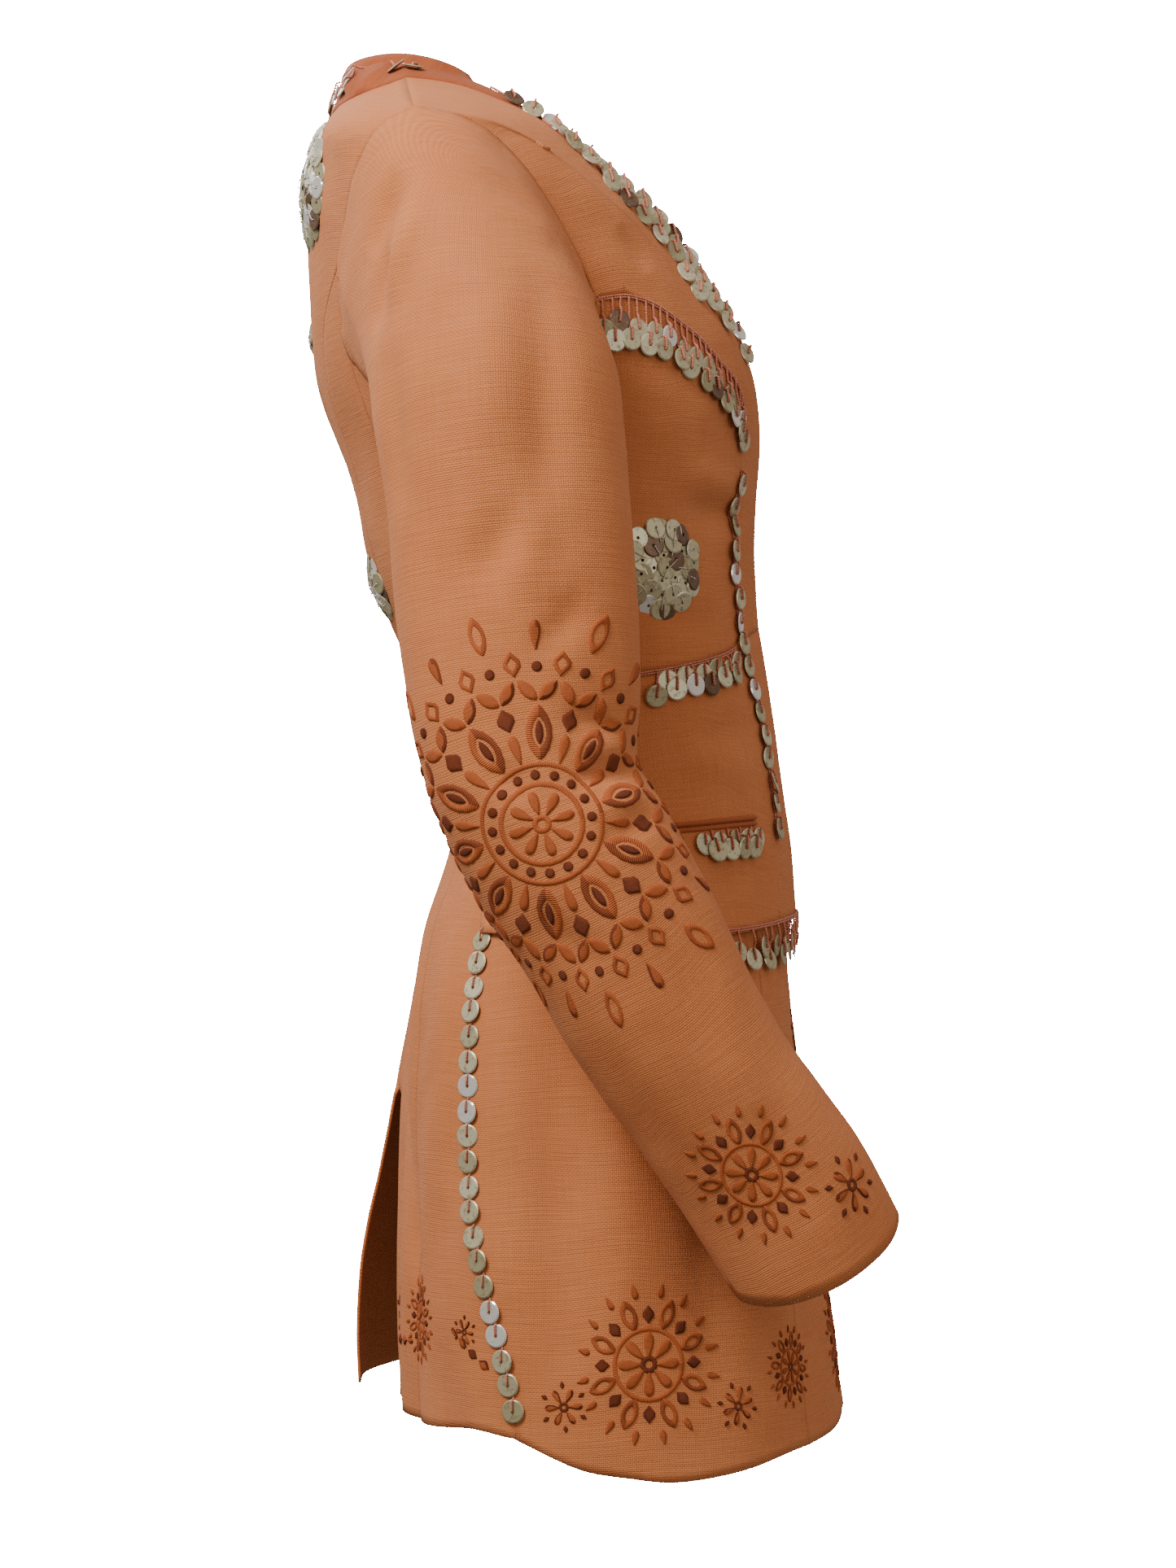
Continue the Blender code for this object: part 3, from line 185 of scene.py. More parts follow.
# %% The white room
ROOM_ABOVE = 0.76
ROOM_BELOW = 0.22
ROOM_FROM = -0.5
ROOM_TO = 0.7
ROOM_COLOUR = (1.0, 0.87, 0.78, 1.0)
WHITE = (1.0, 1.0, 1.0, 1.0)
WHITE_SEEN = 60.0

world = bpy.data.worlds.new("studio")
world.use_nodes = True
bpy.context.scene.world = world
room = world.node_tree
rays = add_node(room, "ShaderNodeLightPath")
direction = add_node(room, "ShaderNodeTexCoord").outputs["Generated"]
sky = add_node(room, "ShaderNodeSeparateXYZ", Vector=direction)
glow = spread(room, sky.outputs["Z"], ROOM_FROM, ROOM_TO, ROOM_BELOW, ROOM_ABOVE)
seen = maths(room, "MULTIPLY", rays.outputs["Is Camera Ray"], WHITE_SEEN)
room.links.new(maths(room, "ADD", glow, seen), room.nodes["Background"].inputs["Strength"])
room_colour = blend_colours(room, rays.outputs["Is Camera Ray"], ROOM_COLOUR, WHITE)
room.links.new(room_colour, room.nodes["Background"].inputs["Color"])
print("room light from below and above:", ROOM_BELOW, ROOM_ABOVE)

# %% [markdown]
# ## The weave
# The cloth is a coarse plain weave with about one yarn to the millimetre. Crossing two sine
# waves gives a bump for each place where one yarn passes over another. Real yarn is uneven, so
# noise that is stretched along the yarns adds slubs, which show as faint streaks. The group is
# built once, and the cloth and the darker collar each give it their own values.

# %% The weave group
WANDER = 0.0016
WARP_SLUBS = (34.0, 900.0, 1.0)
WEFT_SLUBS = (700.0, 44.0, 1.0)


def make_weave_group():
    group, given, result = new_group(
        "weave",
        [("Vector", VECTOR, None), ("Yarn", FLOAT, 0.001), ("Slub", FLOAT, 1.0)],
        [("Height", FLOAT), ("Shade", FLOAT)])
    count = maths(group, "DIVIDE", math.pi, given["Yarn"])
    wander = add_node(group, "ShaderNodeTexNoise", Vector=given["Vector"], Scale=60.0, Detail=1.0)
    shift = add_node(group, "ShaderNodeVectorMath", {"operation": "SCALE"}, i0=wander.outputs["Color"])
    shift.inputs["Scale"].default_value = WANDER
    place = add_node(
        group, "ShaderNodeVectorMath", {"operation": "ADD"}, i0=given["Vector"], i1=shift.outputs[0])
    scaled = add_node(group, "ShaderNodeVectorMath", {"operation": "SCALE"}, i0=place.outputs[0])
    group.links.new(count, scaled.inputs["Scale"])
    apart = add_node(group, "ShaderNodeSeparateXYZ", Vector=scaled.outputs[0])
    warp = maths(group, "SINE", apart.outputs["X"])
    weft = maths(group, "SINE", apart.outputs["Y"])
    crossing = maths(group, "MULTIPLY", warp, weft)
    bump = maths(group, "POWER", maths(group, "ABSOLUTE", crossing), 0.6)
    over = spread(group, crossing, -0.4, 0.4)
    streaks = []
    for stretch in (WARP_SLUBS, WEFT_SLUBS):
        laid = add_node(group, "ShaderNodeMapping", Vector=given["Vector"], Scale=stretch)
        slub = add_node(group, "ShaderNodeTexNoise", Vector=laid.outputs[0], Scale=1.0, Detail=2.0)
        streaks.append(slub.outputs["Fac"])
    streak = maths(group, "ADD", maths(group, "MULTIPLY", streaks[0], 0.66),
                   maths(group, "MULTIPLY", streaks[1], 0.34))
    uneven = maths(group, "MULTIPLY", spread(group, streak, 0.30, 0.70, -1.0, 1.0), given["Slub"])
    height = maths(group, "ADD", bump, maths(group, "MULTIPLY", uneven, 0.45))
    group.links.new(height, result["Height"])
    shade = maths(
        group, "ADD", maths(group, "MULTIPLY", over, 0.62), maths(group, "MULTIPLY", uneven, 0.34))
    group.links.new(shade, result["Shade"])
    return group


WEAVE = make_weave_group()
print("weave sockets:", [item.name for item in WEAVE.interface.items_tree])

# %% [markdown]
# ## The cloth's finish
# A soft mix of three shades carries the weave's shading and large faint patches. The cloth is
# matt with a little nap, which the sheen gives.

# %% Cloth materials
Cloth = namedtuple("Cloth", "name pale middle deep yarn bump")
CLOTHS = [
    Cloth("woven_cloth", (0.640, 0.235, 0.096, 1), (0.520, 0.165, 0.050, 1), (0.370, 0.100, 0.028, 1),
          yarn=0.0010, bump=0.60),
    Cloth("collar_cloth", (0.390, 0.095, 0.028, 1), (0.300, 0.066, 0.018, 1), (0.205, 0.040, 0.011, 1),
          yarn=0.0008, bump=0.35),
    Cloth("piping_cloth", (0.420, 0.110, 0.038, 1), (0.330, 0.080, 0.026, 1), (0.240, 0.050, 0.017, 1),
          yarn=0.0008, bump=0.35),
]
SHEEN_TINT = (0.95, 0.72, 0.55, 1.0)


def make_cloth(cloth):
    material, tree, shader = new_material(cloth.name)
    uv = add_node(tree, "ShaderNodeUVMap", {"uv_map": "Cloth"})
    weave = add_node(
        tree, "ShaderNodeGroup", {"node_tree": WEAVE}, Vector=uv.outputs[0], Yarn=cloth.yarn)
    where = add_node(tree, "ShaderNodeTexCoord")
    patches = add_node(
        tree, "ShaderNodeTexNoise", Vector=where.outputs["Object"], Scale=9.0, Detail=3.0, Roughness=0.55)
    wide = spread(tree, patches.outputs["Fac"], 0.3, 0.7, -0.10, 0.10)
    woven = maths(tree, "ADD", maths(tree, "MULTIPLY", weave.outputs["Shade"], 0.40), 0.45)
    tone = maths(tree, "ADD", woven, wide)
    low = blend_colours(tree, spread(tree, tone, 0.0, 0.5), cloth.deep, cloth.middle)
    colour = blend_colours(tree, spread(tree, tone, 0.5, 1.0), low, cloth.pale)
    tree.links.new(colour, shader.inputs["Base Color"])
    rough = spread(tree, weave.outputs["Height"], 0.0, 1.2, 0.92, 0.78)
    tree.links.new(rough, shader.inputs["Roughness"])
    bump = add_node(
        tree, "ShaderNodeBump", Strength=cloth.bump, Distance=0.0004, Height=weave.outputs["Height"])
    tree.links.new(bump.outputs[0], shader.inputs["Normal"])
    shader.inputs["Specular IOR Level"].default_value = 0.25
    shader.inputs["Sheen Weight"].default_value = 0.08
    shader.inputs["Sheen Roughness"].default_value = 0.5
    shader.inputs["Sheen Tint"].default_value = SHEEN_TINT
    return material


CLOTH_MATERIALS = {cloth.name: make_cloth(cloth) for cloth in CLOTHS}
print("cloth finishes:", list(CLOTH_MATERIALS))

# %% [markdown]
# ## From a solid to a sheet
# Each panel of the model is a thin closed wall with few faces. Its outer face alone is taken:
# faces are gathered across soft edges only, and of the two large regions the one that looks
# away from the jacket's middle is the outside. Pairs of triangles become quads again, so that
# subdivision gives an even net.

# %% The outer face of a panel
MERGE = 0.00001
RIM_ANGLE = math.radians(50)
HOLLOW_Y = -0.06
PAIR_ANGLE = math.radians(60)
PAIR_SHAPE = math.radians(85)


def regions_of(form):
    """Groups of faces that meet at soft edges, the largest first."""
    left = {face.index: face for face in form.faces}
    regions = []
    while left:
        seed = left.pop(min(left))
        region = [seed]
        queue = [seed]
        while queue:
            for edge in queue.pop().edges:
                if edge.calc_face_angle(0.0) > RIM_ANGLE:
                    continue
                for face in edge.link_faces:
                    if face.index in left:
                        region.append(left.pop(face.index))
                        queue.append(region[-1])
        regions.append(region)
    return sorted(regions, key=lambda region: -sum(face.calc_area() for face in region))


def looks_outwards(region):
    middle = Vector((0.0, HOLLOW_Y, 0.0))
    total = 0.0
    for face in region:
        away = face.calc_center_median() - middle
        away.z = 0.0
        total += face.calc_area() * face.normal.dot(away.normalized())
    return total > 0


def outer_sheet(node, tube=False):
    """A new object with the outer face of a node's wall."""
    form = bmesh.new()
    form.from_mesh(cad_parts[node].data)
    bmesh.ops.remove_doubles(form, verts=form.verts, dist=MERGE)
    form.faces.index_update()
    walls = regions_of(form)[:2]
    outside = walls[0] if tube or looks_outwards(walls[0]) else walls[1]
    keep = set(outside)
    bmesh.ops.delete(form, geom=[face for face in form.faces if face not in keep], context="FACES")
    bmesh.ops.join_triangles(
        form, faces=form.faces, angle_face_threshold=PAIR_ANGLE, angle_shape_threshold=PAIR_SHAPE)
    mesh = bpy.data.meshes.new(node + "_cloth")
    form.to_mesh(mesh)
    form.free()
    piece = bpy.data.objects.new(node + "_cloth", mesh)
    bpy.context.scene.collection.objects.link(piece)
    return piece


# %% [markdown]
# ## The flat cut
# The weave has to run along the cloth, so every sheet is laid out flat, as its paper pattern
# would be. Blender's unwrap does that for the panels. The flat copy is then turned until the
# warp runs up the panel, and scaled until one unit is one metre. The collar band straightens
# into a strip, with the warp along it. A sleeve is a tube, so it is unrolled round the line of
# the arm instead.

# %% Flat coordinates
ARM_LINE = [
    Vector((0.190, -0.045, -0.060)),
    Vector((0.216, -0.052, -0.205)),
    Vector((0.232, -0.065, -0.350)),
    Vector((0.233, -0.094, -0.430)),
    Vector((0.218, -0.156, -0.530)),
    Vector((0.195, -0.210, -0.615)),
]
SLEEVE_RADIUS = 0.046


def arm_place(point):
    """How far along the arm a point is, and the turn round it from the outermost line."""
    here = Vector((abs(point.x), point.y, point.z))
    best = None
    along = 0.0
    for start, end in zip(ARM_LINE, ARM_LINE[1:]):
        way = end - start
        share = (here - start).dot(way) / way.length_squared
        inside = min(max(share, 0.0), 1.0)
        foot = start + way * inside
        distance = (here - foot).length
        if best is None or distance < best[0]:
            best = (distance, along + way.length * inside, foot, way.normalized())
        along += way.length
    away = here - best[2]
    outward = Vector((1.0, 0.0, 0.0))
    outward = (outward - best[3] * outward.dot(best[3])).normalized()
    forward = outward.cross(best[3])
    return best[1], math.atan2(away.dot(forward), away.dot(outward))


def unroll_sleeve(mesh):
    layer = mesh.uv_layers.new(name="Cloth")
    for face in mesh.polygons:
        corners = [(loop, *arm_place(mesh.vertices[mesh.loops[loop].vertex_index].co))
                   for loop in face.loop_indices]
        turns = [turn for _, _, turn in corners]
        for loop, along, turn in corners:
            if max(turns) - turn > math.pi:
                turn += 2 * math.pi
            layer.data[loop].uv = (turn * SLEEVE_RADIUS, -along)


def lay_flat(piece, method="ANGLE_BASED"):
    """Unwraps an open sheet at real size, and gives its flat width and length."""
    mesh = piece.data
    mesh.uv_layers.new(name="Cloth")
    bpy.ops.object.select_all(action="DESELECT")
    bpy.context.view_layer.objects.active = piece
    piece.select_set(True)
    bpy.ops.object.mode_set(mode="EDIT")
    bpy.ops.mesh.select_all(action="SELECT")
    bpy.ops.uv.unwrap(method=method, fill_holes=False, correct_aspect=False, margin=0.0)
    bpy.ops.object.mode_set(mode="OBJECT")
    piece.select_set(False)
    layer = mesh.uv_layers["Cloth"]
    flat = np.zeros(len(layer.data) * 2)
    layer.data.foreach_get("uv", flat)
    flat = flat.reshape(-1, 2)
    solid = np.array([mesh.vertices[loop.vertex_index].co for loop in mesh.loops])
    flat_area = 0.0
    for face in mesh.polygons:
        ring = flat[list(face.loop_indices)]
        following = np.roll(ring, -1, axis=0)
        flat_area += abs((ring[:, 0] * following[:, 1] - ring[:, 1] * following[:, 0]).sum()) / 2
    area = sum(face.area for face in mesh.polygons)
    flat *= math.sqrt(area / flat_area)
    if method == "ANGLE_BASED":
        terms = np.column_stack([flat, np.ones(len(flat))])
        slope = np.linalg.lstsq(terms, solid[:, 2], rcond=None)[0][:2]
    else:
        slope = np.linalg.svd(flat - flat.mean(axis=0), full_matrices=False)[2][0]
    slope /= np.linalg.norm(slope)
    across = np.array([slope[1], -slope[0]])
    turned = np.column_stack([flat @ across, flat @ slope])
    layer.data.foreach_set("uv", turned.ravel())
    return turned.max(axis=0) - turned.min(axis=0)


# %% [markdown]
# ## A smooth sheet through the model's points
# Subdivision rounds a net and pulls it inwards, which would open the seams between panels.
# So the coarse points are first pushed out again, a few times over, until the finer sheet
# passes through the model's own points. Sharp corners of a border stay sharp. A coarse net
# still leaves small bumps, so at the end the fine points inside the border are evened out.

# %% Smoothing
CORNER_TURN = math.radians(32)
FITTING_ROUNDS = 5
PRESS_ROUNDS = 14


def keep_corners(mesh):
    """Creases the border points where the border turns sharply."""
    form = bmesh.new()
    form.from_mesh(mesh)
    crease = mesh.attributes.new("crease_vert", "FLOAT", "POINT")
    for vert in form.verts:
        rim = [edge for edge in vert.link_edges if edge.is_boundary]
        if len(rim) == 2:
            ways = [(edge.other_vert(vert).co - vert.co).normalized() for edge in rim]
            if math.pi - ways[0].angle(ways[1]) > CORNER_TURN:
                crease.data[vert.index].value = 1.0
    form.free()


def press_flat(mesh):
    """Takes small bumps out of a sheet and leaves its edge where it is."""
    form = bmesh.new()
    form.from_mesh(mesh)
    inside = [vert for vert in form.verts if not vert.is_boundary]
    for _ in range(PRESS_ROUNDS):
        bmesh.ops.smooth_vert(
            form, verts=inside, factor=0.5, use_axis_x=True, use_axis_y=True, use_axis_z=True)
    form.to_mesh(mesh)
    form.free()
    mesh.update()


def smooth_sheet(piece, levels):
    """Subdivides a sheet so that it still passes through its own points."""
    mesh = piece.data
    keep_corners(mesh)
    softer = piece.modifiers.new("softer", "SUBSURF")
    softer.levels = levels
    softer.render_levels = levels
    softer.boundary_smooth = "PRESERVE_CORNERS"
    goals = [vert.co.copy() for vert in mesh.vertices]
    for _ in range(FITTING_ROUNDS):
        graph = bpy.context.evaluated_depsgraph_get()
        finer = piece.evaluated_get(graph).data
        for vert, goal in zip(mesh.vertices, goals):
            vert.co += goal - finer.vertices[vert.index].co
        mesh.update()
        piece.update_tag()
    graph = bpy.context.evaluated_depsgraph_get()
    fine = bpy.data.meshes.new_from_object(piece.evaluated_get(graph))
    piece.modifiers.clear()
    piece.data = fine
    bpy.data.meshes.remove(mesh)
    press_flat(fine)
    return fine


# %% [markdown]
# ## Folds
# The jacket is well pressed, so its folds are few and soft: drag lines at the sleeve head, a
# long fold behind the shoulder, short creases in the crook of the elbow, pulls under the bust
# and flutes down the skirt. Each is placed as seen from the side, as a line with a width and
# a depth. A trough has a negative depth. The table is drawn at half depth, and each side has
# its own share of it. The left side's folds are shallower and a little lower, so that the two
# sides aren't twins. Smooth noise adds faint waves all over.

# %% The folds' table
Fold = namedtuple("Fold", "y_start z_start y_end z_end width depth")
SLEEVE_FOLDS = [
    Fold(-0.040, -0.080, -0.074, -0.104, 0.0085, -0.0009),
    Fold(-0.050, -0.092, -0.080, -0.116, 0.0080, 0.0010),
    Fold(-0.005, -0.080, 0.014, -0.122, 0.0085, -0.0030),
    Fold(0.003, -0.118, 0.011, -0.160, 0.0075, -0.0026),
    Fold(-0.012, -0.100, 0.002, -0.150, 0.0080, 0.0022),
    Fold(0.000, -0.165, -0.004, -0.255, 0.0110, -0.0022),
    Fold(-0.069, -0.125, -0.076, -0.285, 0.0130, -0.0024),
    Fold(-0.046, -0.145, -0.050, -0.225, 0.0140, 0.0016),
    Fold(-0.064, -0.250, -0.038, -0.285, 0.0110, -0.0020),
    Fold(-0.080, -0.235, -0.060, -0.290, 0.0120, 0.0016),
    Fold(-0.096, -0.290, -0.070, -0.318, 0.0080, -0.0018),
    Fold(-0.112, -0.352, -0.082, -0.346, 0.0045, -0.0013),
    Fold(-0.114, -0.361, -0.088, -0.362, 0.0042, 0.0011),
    Fold(-0.118, -0.372, -0.086, -0.378, 0.0048, -0.0016),
    Fold(-0.122, -0.383, -0.094, -0.394, 0.0045, 0.0011),
    Fold(-0.128, -0.392, -0.100, -0.408, 0.0050, -0.0013),
    Fold(-0.045, -0.372, -0.070, -0.384, 0.0080, -0.0014),
    Fold(-0.070, -0.440, -0.100, -0.470, 0.0100, -0.0014),
    Fold(-0.120, -0.440, -0.165, -0.520, 0.0120, -0.0016),
    Fold(-0.105, -0.480, -0.150, -0.560, 0.0130, 0.0014),
    Fold(-0.175, -0.530, -0.205, -0.590, 0.0110, -0.0014),
]
BODY_FOLDS = [
    Fold(-0.178, -0.234, -0.146, -0.238, 0.0080, -0.0026),
    Fold(-0.172, -0.222, -0.140, -0.219, 0.0100, 0.0014),
    Fold(-0.160, -0.300, -0.120, -0.286, 0.0090, -0.0012),
    Fold(-0.185, -0.345, -0.150, -0.360, 0.0090, -0.0016),
    Fold(-0.178, -0.372, -0.140, -0.366, 0.0080, 0.0014),
    Fold(-0.190, -0.420, -0.150, -0.432, 0.0090, -0.0014),
    Fold(-0.010, -0.440, -0.008, -0.660, 0.0120, -0.0026),
    Fold(0.002, -0.430, -0.002, -0.640, 0.0100, 0.0022),
    Fold(-0.024, -0.470, -0.022, -0.600, 0.0090, 0.0014),
    Fold(-0.075, -0.480, -0.080, -0.690, 0.0180, -0.0026),
    Fold(-0.110, -0.500, -0.108, -0.700, 0.0200, 0.0022),
    Fold(-0.150, -0.480, -0.158, -0.700, 0.0160, -0.0022),
    Fold(-0.180, -0.470, -0.196, -0.690, 0.0150, 0.0018),
    Fold(0.014, -0.200, 0.000, -0.250, 0.0090, -0.0018),
    Fold(0.022, -0.150, 0.024, -0.210, 0.0080, 0.0014),
    Fold(-0.006, -0.300, -0.030, -0.345, 0.0090, -0.0018),
    Fold(-0.110, -0.095, -0.128, -0.115, 0.0080, -0.0010),
]
print("folds by hand:", len(SLEEVE_FOLDS) + len(BODY_FOLDS))

# %% Press the folds in
FoldShare = namedtuple("FoldShare", "depth lower")
FOLD_SHARES = {RIGHT: FoldShare(2.0, 0.0), LEFT: FoldShare(1.7, 0.006)}
FINE_PITCH = 38.0
FINE_DEPTH = 0.0006
WIDE_PITCH = 14.0
WIDE_DEPTH = 0.0022
FOLD_LOOK_FROM = 0.6
SLIP = 0.0009
SLIPS = [Vector(slip) * SLIP for slip in (
    (0, 0, 0), (0, 0, 1), (0, 0, -1), (1, 1, 0), (-1, -1, 0), (1, 0, 1), (0, 1, -1))]


def look_at(tree, start, way):
    """The first cloth a look meets. Looks beside it keep it from slipping through a seam."""
    hits = [tree.ray_cast(start + slip, way) for slip in SLIPS]
    hits = [hit for hit in hits if hit[0]]
    return min(hits, key=lambda hit: hit[3])[0] if hits else None


def fold_sheet(mesh, tree, folds, side):
    """Moves a fine sheet in and out along its normals at each fold, and a little all over."""
    count = len(mesh.vertices)
    places = np.zeros(count * 3)
    mesh.vertices.foreach_get("co", places)
    places = places.reshape(-1, 3)
    normals = np.array([vert.normal for vert in mesh.vertices])
    amount = np.zeros(count)
    share = FOLD_SHARES[side]
    for fold in folds:
        ends = []
        for y, z in ((fold.y_start, fold.z_start), (fold.y_end, fold.z_end)):
            eye = Vector((side * FOLD_LOOK_FROM, y, z - share.lower))
            ends.append(look_at(tree, eye, Vector((-side, 0.0, 0.0))))
        if None in ends:
            continue
        start = np.array(ends[0])
        way = np.array(ends[1]) - start
        along = np.clip(((places - start) @ way) / (way @ way), 0.0, 1.0)
        middle = tree.find_nearest(ends[0].lerp(ends[1], 0.5))[0]
        lift = np.array(middle - ends[0].lerp(ends[1], 0.5))
        line = start + along[:, None] * way + np.sin(along * math.pi)[:, None] * lift
        distance = np.linalg.norm(places - line, axis=1)
        taper = np.sin(np.clip(along, 0.02, 0.98) * math.pi) ** 0.7
        amount += share.depth * fold.depth * taper * np.exp(-(distance / fold.width) ** 2)
    for k in range(count):
        spot = Vector(places[k])
        amount[k] += (FINE_DEPTH * noise.noise(spot * FINE_PITCH)
                      + WIDE_DEPTH * noise.noise(spot * WIDE_PITCH))
    places += normals * amount[:, None]
    mesh.vertices.foreach_set("co", places.ravel())
    mesh.update()


# %% [markdown]
# ## The panels
# Every panel of the model becomes a sheet of its own: its outer face is taken, laid flat once
# for its weave, and smoothed. A sleeve is cut in one piece, and its flat size is the arm's
# length and turn. The collar needs less smoothing.

# %% Make the panels
PANELS = ["front", "bodice", "tier", "skirt_front", "skirt_side", "side_back", "back"]
FINENESS = 3
COLLAR_FINENESS = 2
sheets = {}

for side, side_name in SIDES.items():
    for panel in PANELS:
        node = f"{panel}_{side_name}"
        sheet_piece = outer_sheet(node)
        lay_flat(sheet_piece)
        smooth_sheet(sheet_piece, FINENESS)
        sheets[node] = sheet_piece
    node = "sleeve_" + side_name
    sheet_piece = outer_sheet(node, tube=True)
    unroll_sleeve(sheet_piece.data)
    smooth_sheet(sheet_piece, FINENESS)
    sheets[node] = sheet_piece
sheets["collar"] = outer_sheet("collar")
lay_flat(sheets["collar"], "MINIMUM_STRETCH")
smooth_sheet(sheets["collar"], COLLAR_FINENESS)
print("faces in the sheets:", sum(len(piece.data.polygons) for piece in sheets.values()))

# %% [markdown]
# ## Folds in the panels, and closed seams
# Each sheet is folded along its own normals, so the borders of two neighbours come apart a
# little. Every border point is therefore drawn half way to the nearest border of another
# panel, and the cloth beside it follows less and less. A tier hangs free over its skirt, so
# those two borders stay apart.

# %% Fold and join the panels
EDGE_FADE = 0.0140
SEAM_REACH = 0.0050
SEAM_POINTS = 5


def panel_meshes():
    return [sheets[f"{panel}_{name}"].data for panel in PANELS for name in SIDES.values()]


def tree_of(meshes):
    """A search tree over the faces of some meshes."""
    points = []
    faces = []
    for mesh in meshes:
        start = len(points)
        points.extend(vert.co.copy() for vert in mesh.vertices)
        faces.extend([start + k for k in face.vertices] for face in mesh.polygons)
    return BVHTree.FromPolygons(points, faces)


def border_points(mesh, between=1):
    """The points of a sheet's border. Each of its edges can be parted for more of them."""
    form = bmesh.new()
    form.from_mesh(mesh)
    points = [vert.co.copy() for vert in form.verts if vert.is_boundary]
    for edge in form.edges:
        if edge.is_boundary:
            start, end = edge.verts
            points.extend(start.co.lerp(end.co, k / between) for k in range(1, between))
    form.free()
    return points


def point_tree(points):
    tree = KDTree(len(points))
    for k, point in enumerate(points):
        tree.insert(point, k)
    tree.balance()
    return tree


def move_edges(mesh, moves):
    """Moves border points, and the cloth beside them less and less. A move is a point and a shift."""
    edge = point_tree([point for point, _ in moves])
    for vert in mesh.vertices:
        _, k, distance = edge.find(vert.co)
        if k is not None and distance < EDGE_FADE:
            vert.co += moves[k][1] * (1.0 - distance / EDGE_FADE) ** 2
    mesh.update()


def join_seams(nodes):
    """Brings the neighbouring borders of the panels together. A tier stays free over its skirt."""
    borders = {node: border_points(sheets[node].data, SEAM_POINTS) for node in nodes}
    all_moves = {}
    for node in nodes:
        layer = node.split("_")[0]
        apart = {"tier": "skirt", "skirt": "tier"}.get(layer, "none")
        others = [point for other in nodes if other != node and not other.startswith(apart)
                  for point in borders[other]]
        seam = point_tree(others)
        all_moves[node] = []
        for point in border_points(sheets[node].data):
            place, _, distance = seam.find(point)
            shift = (place - point) * 0.5 if distance < SEAM_REACH else Vector()
            all_moves[node].append((point, shift))
    for node in nodes:
        move_edges(sheets[node].data, all_moves[node])


smooth_body = tree_of(panel_meshes())
for side, side_name in SIDES.items():
    sleeve_mesh = sheets["sleeve_" + side_name].data
    fold_sheet(sleeve_mesh, tree_of([sleeve_mesh]), SLEEVE_FOLDS, side)
    for panel in PANELS:
        fold_sheet(sheets[f"{panel}_{side_name}"].data, smooth_body, BODY_FOLDS, side)
join_seams([f"{panel}_{name}" for name in SIDES.values() for panel in PANELS])
print("folded and joined:", len(PANELS) * len(SIDES), "panels")

# %% [markdown]
# ## Laying things on the cloth
# Whatever is sewn on follows the cloth. A ground is a search tree that gives the nearest place
# on the cloth and the way it faces, or the place that a look from the side, the front or the
# back meets.

# %% Grounds
LOOK_FROM = 0.7


class Ground:
    """Cloth to lay things on."""

    def __init__(self, meshes):
        self.tree = tree_of(meshes)

    def near(self, point):
        place, normal, _, _ = self.tree.find_nearest(point)
        return place, normal

    def seen(self, look, across, z, side):
        """Where a look from the side, front or back meets the cloth of one side of the jacket."""
        eye, way = {
            "side": ((side * LOOK_FROM, across, z), (-side, 0.0, 0.0)),
            "front": ((side * abs(across), -LOOK_FROM, z), (0.0, 1.0, 0.0)),
            "back": ((side * abs(across), LOOK_FROM, z), (0.0, -1.0, 0.0)),
        }[look]
        return look_at(self.tree, Vector(eye), Vector(way))


BODY = Ground(panel_meshes())
print("faces of the body to sew on:", sum(len(mesh.polygons) for mesh in panel_meshes()))

# %% [markdown]
# ## The collar and sleeves on the body
# The band lies on the cloth with a small, even gap. Its outer edge is pressed down to the cloth,
# except where the band folds over at the neck. A sleeve's cap is set into the armhole, a little
# past the cloth, so no light shows through the seam.

# %% Lay the collar and set in the sleeves
COLLAR_REACH = 0.0060
COLLAR_REST = 0.0021
EDGE_REACH = 0.0095
EDGE_REST = 0.0003
COLLAR_FOLD_Z = -0.004
SLEEVE_TUCK = 0.0009


def lay_collar_down(mesh, ground):
    """Brings the band close to the cloth under it."""
    for vert in mesh.vertices:
        place, normal = ground.near(vert.co)
        gap = (vert.co - place).dot(normal)
        if (vert.co - place).length < COLLAR_REACH and gap > COLLAR_REST:
            vert.co += normal * (COLLAR_REST - gap)
    mesh.update()


def close_edges(mesh, ground, below=1.0, past=0.0):
    """Brings the edges that lie near other cloth, below a height, down to it or a little past it."""
    moves = []
    for point in border_points(mesh):
        place, normal = ground.near(point)
        if point.z < below and (point - place).length < EDGE_REACH:
            shift = place + normal * EDGE_REST - point + (place - point).normalized() * past
            moves.append((point, shift))
    move_edges(mesh, moves)


lay_collar_down(sheets["collar"].data, BODY)
close_edges(sheets["collar"].data, BODY, COLLAR_FOLD_Z)
for side_name in SIDES.values():
    close_edges(sheets["sleeve_" + side_name].data, BODY, past=SLEEVE_TUCK)
COLLAR = Ground([sheets["collar"].data])
ARMS = {side: Ground([sheets["sleeve_" + name].data]) for side, name in SIDES.items()}
BODY_AND_COLLAR = Ground(panel_meshes() + [sheets["collar"].data])
print("grounds: body, collar, body with collar, and", len(ARMS), "sleeves")

# %% [markdown]
# ## Cord and metal
# The trimming is a two-ply cord in a warm salmon pink. It runs along the seams as a braid, and
# it hangs from them in short ends. Each end passes through the hole of a flat metal disc. The
# discs are pale and a little green, like old pewter, with brown tarnish. Some are still as
# bright as a mirror and a few are dark, so every disc has a tone of its own.

# %% Trim materials


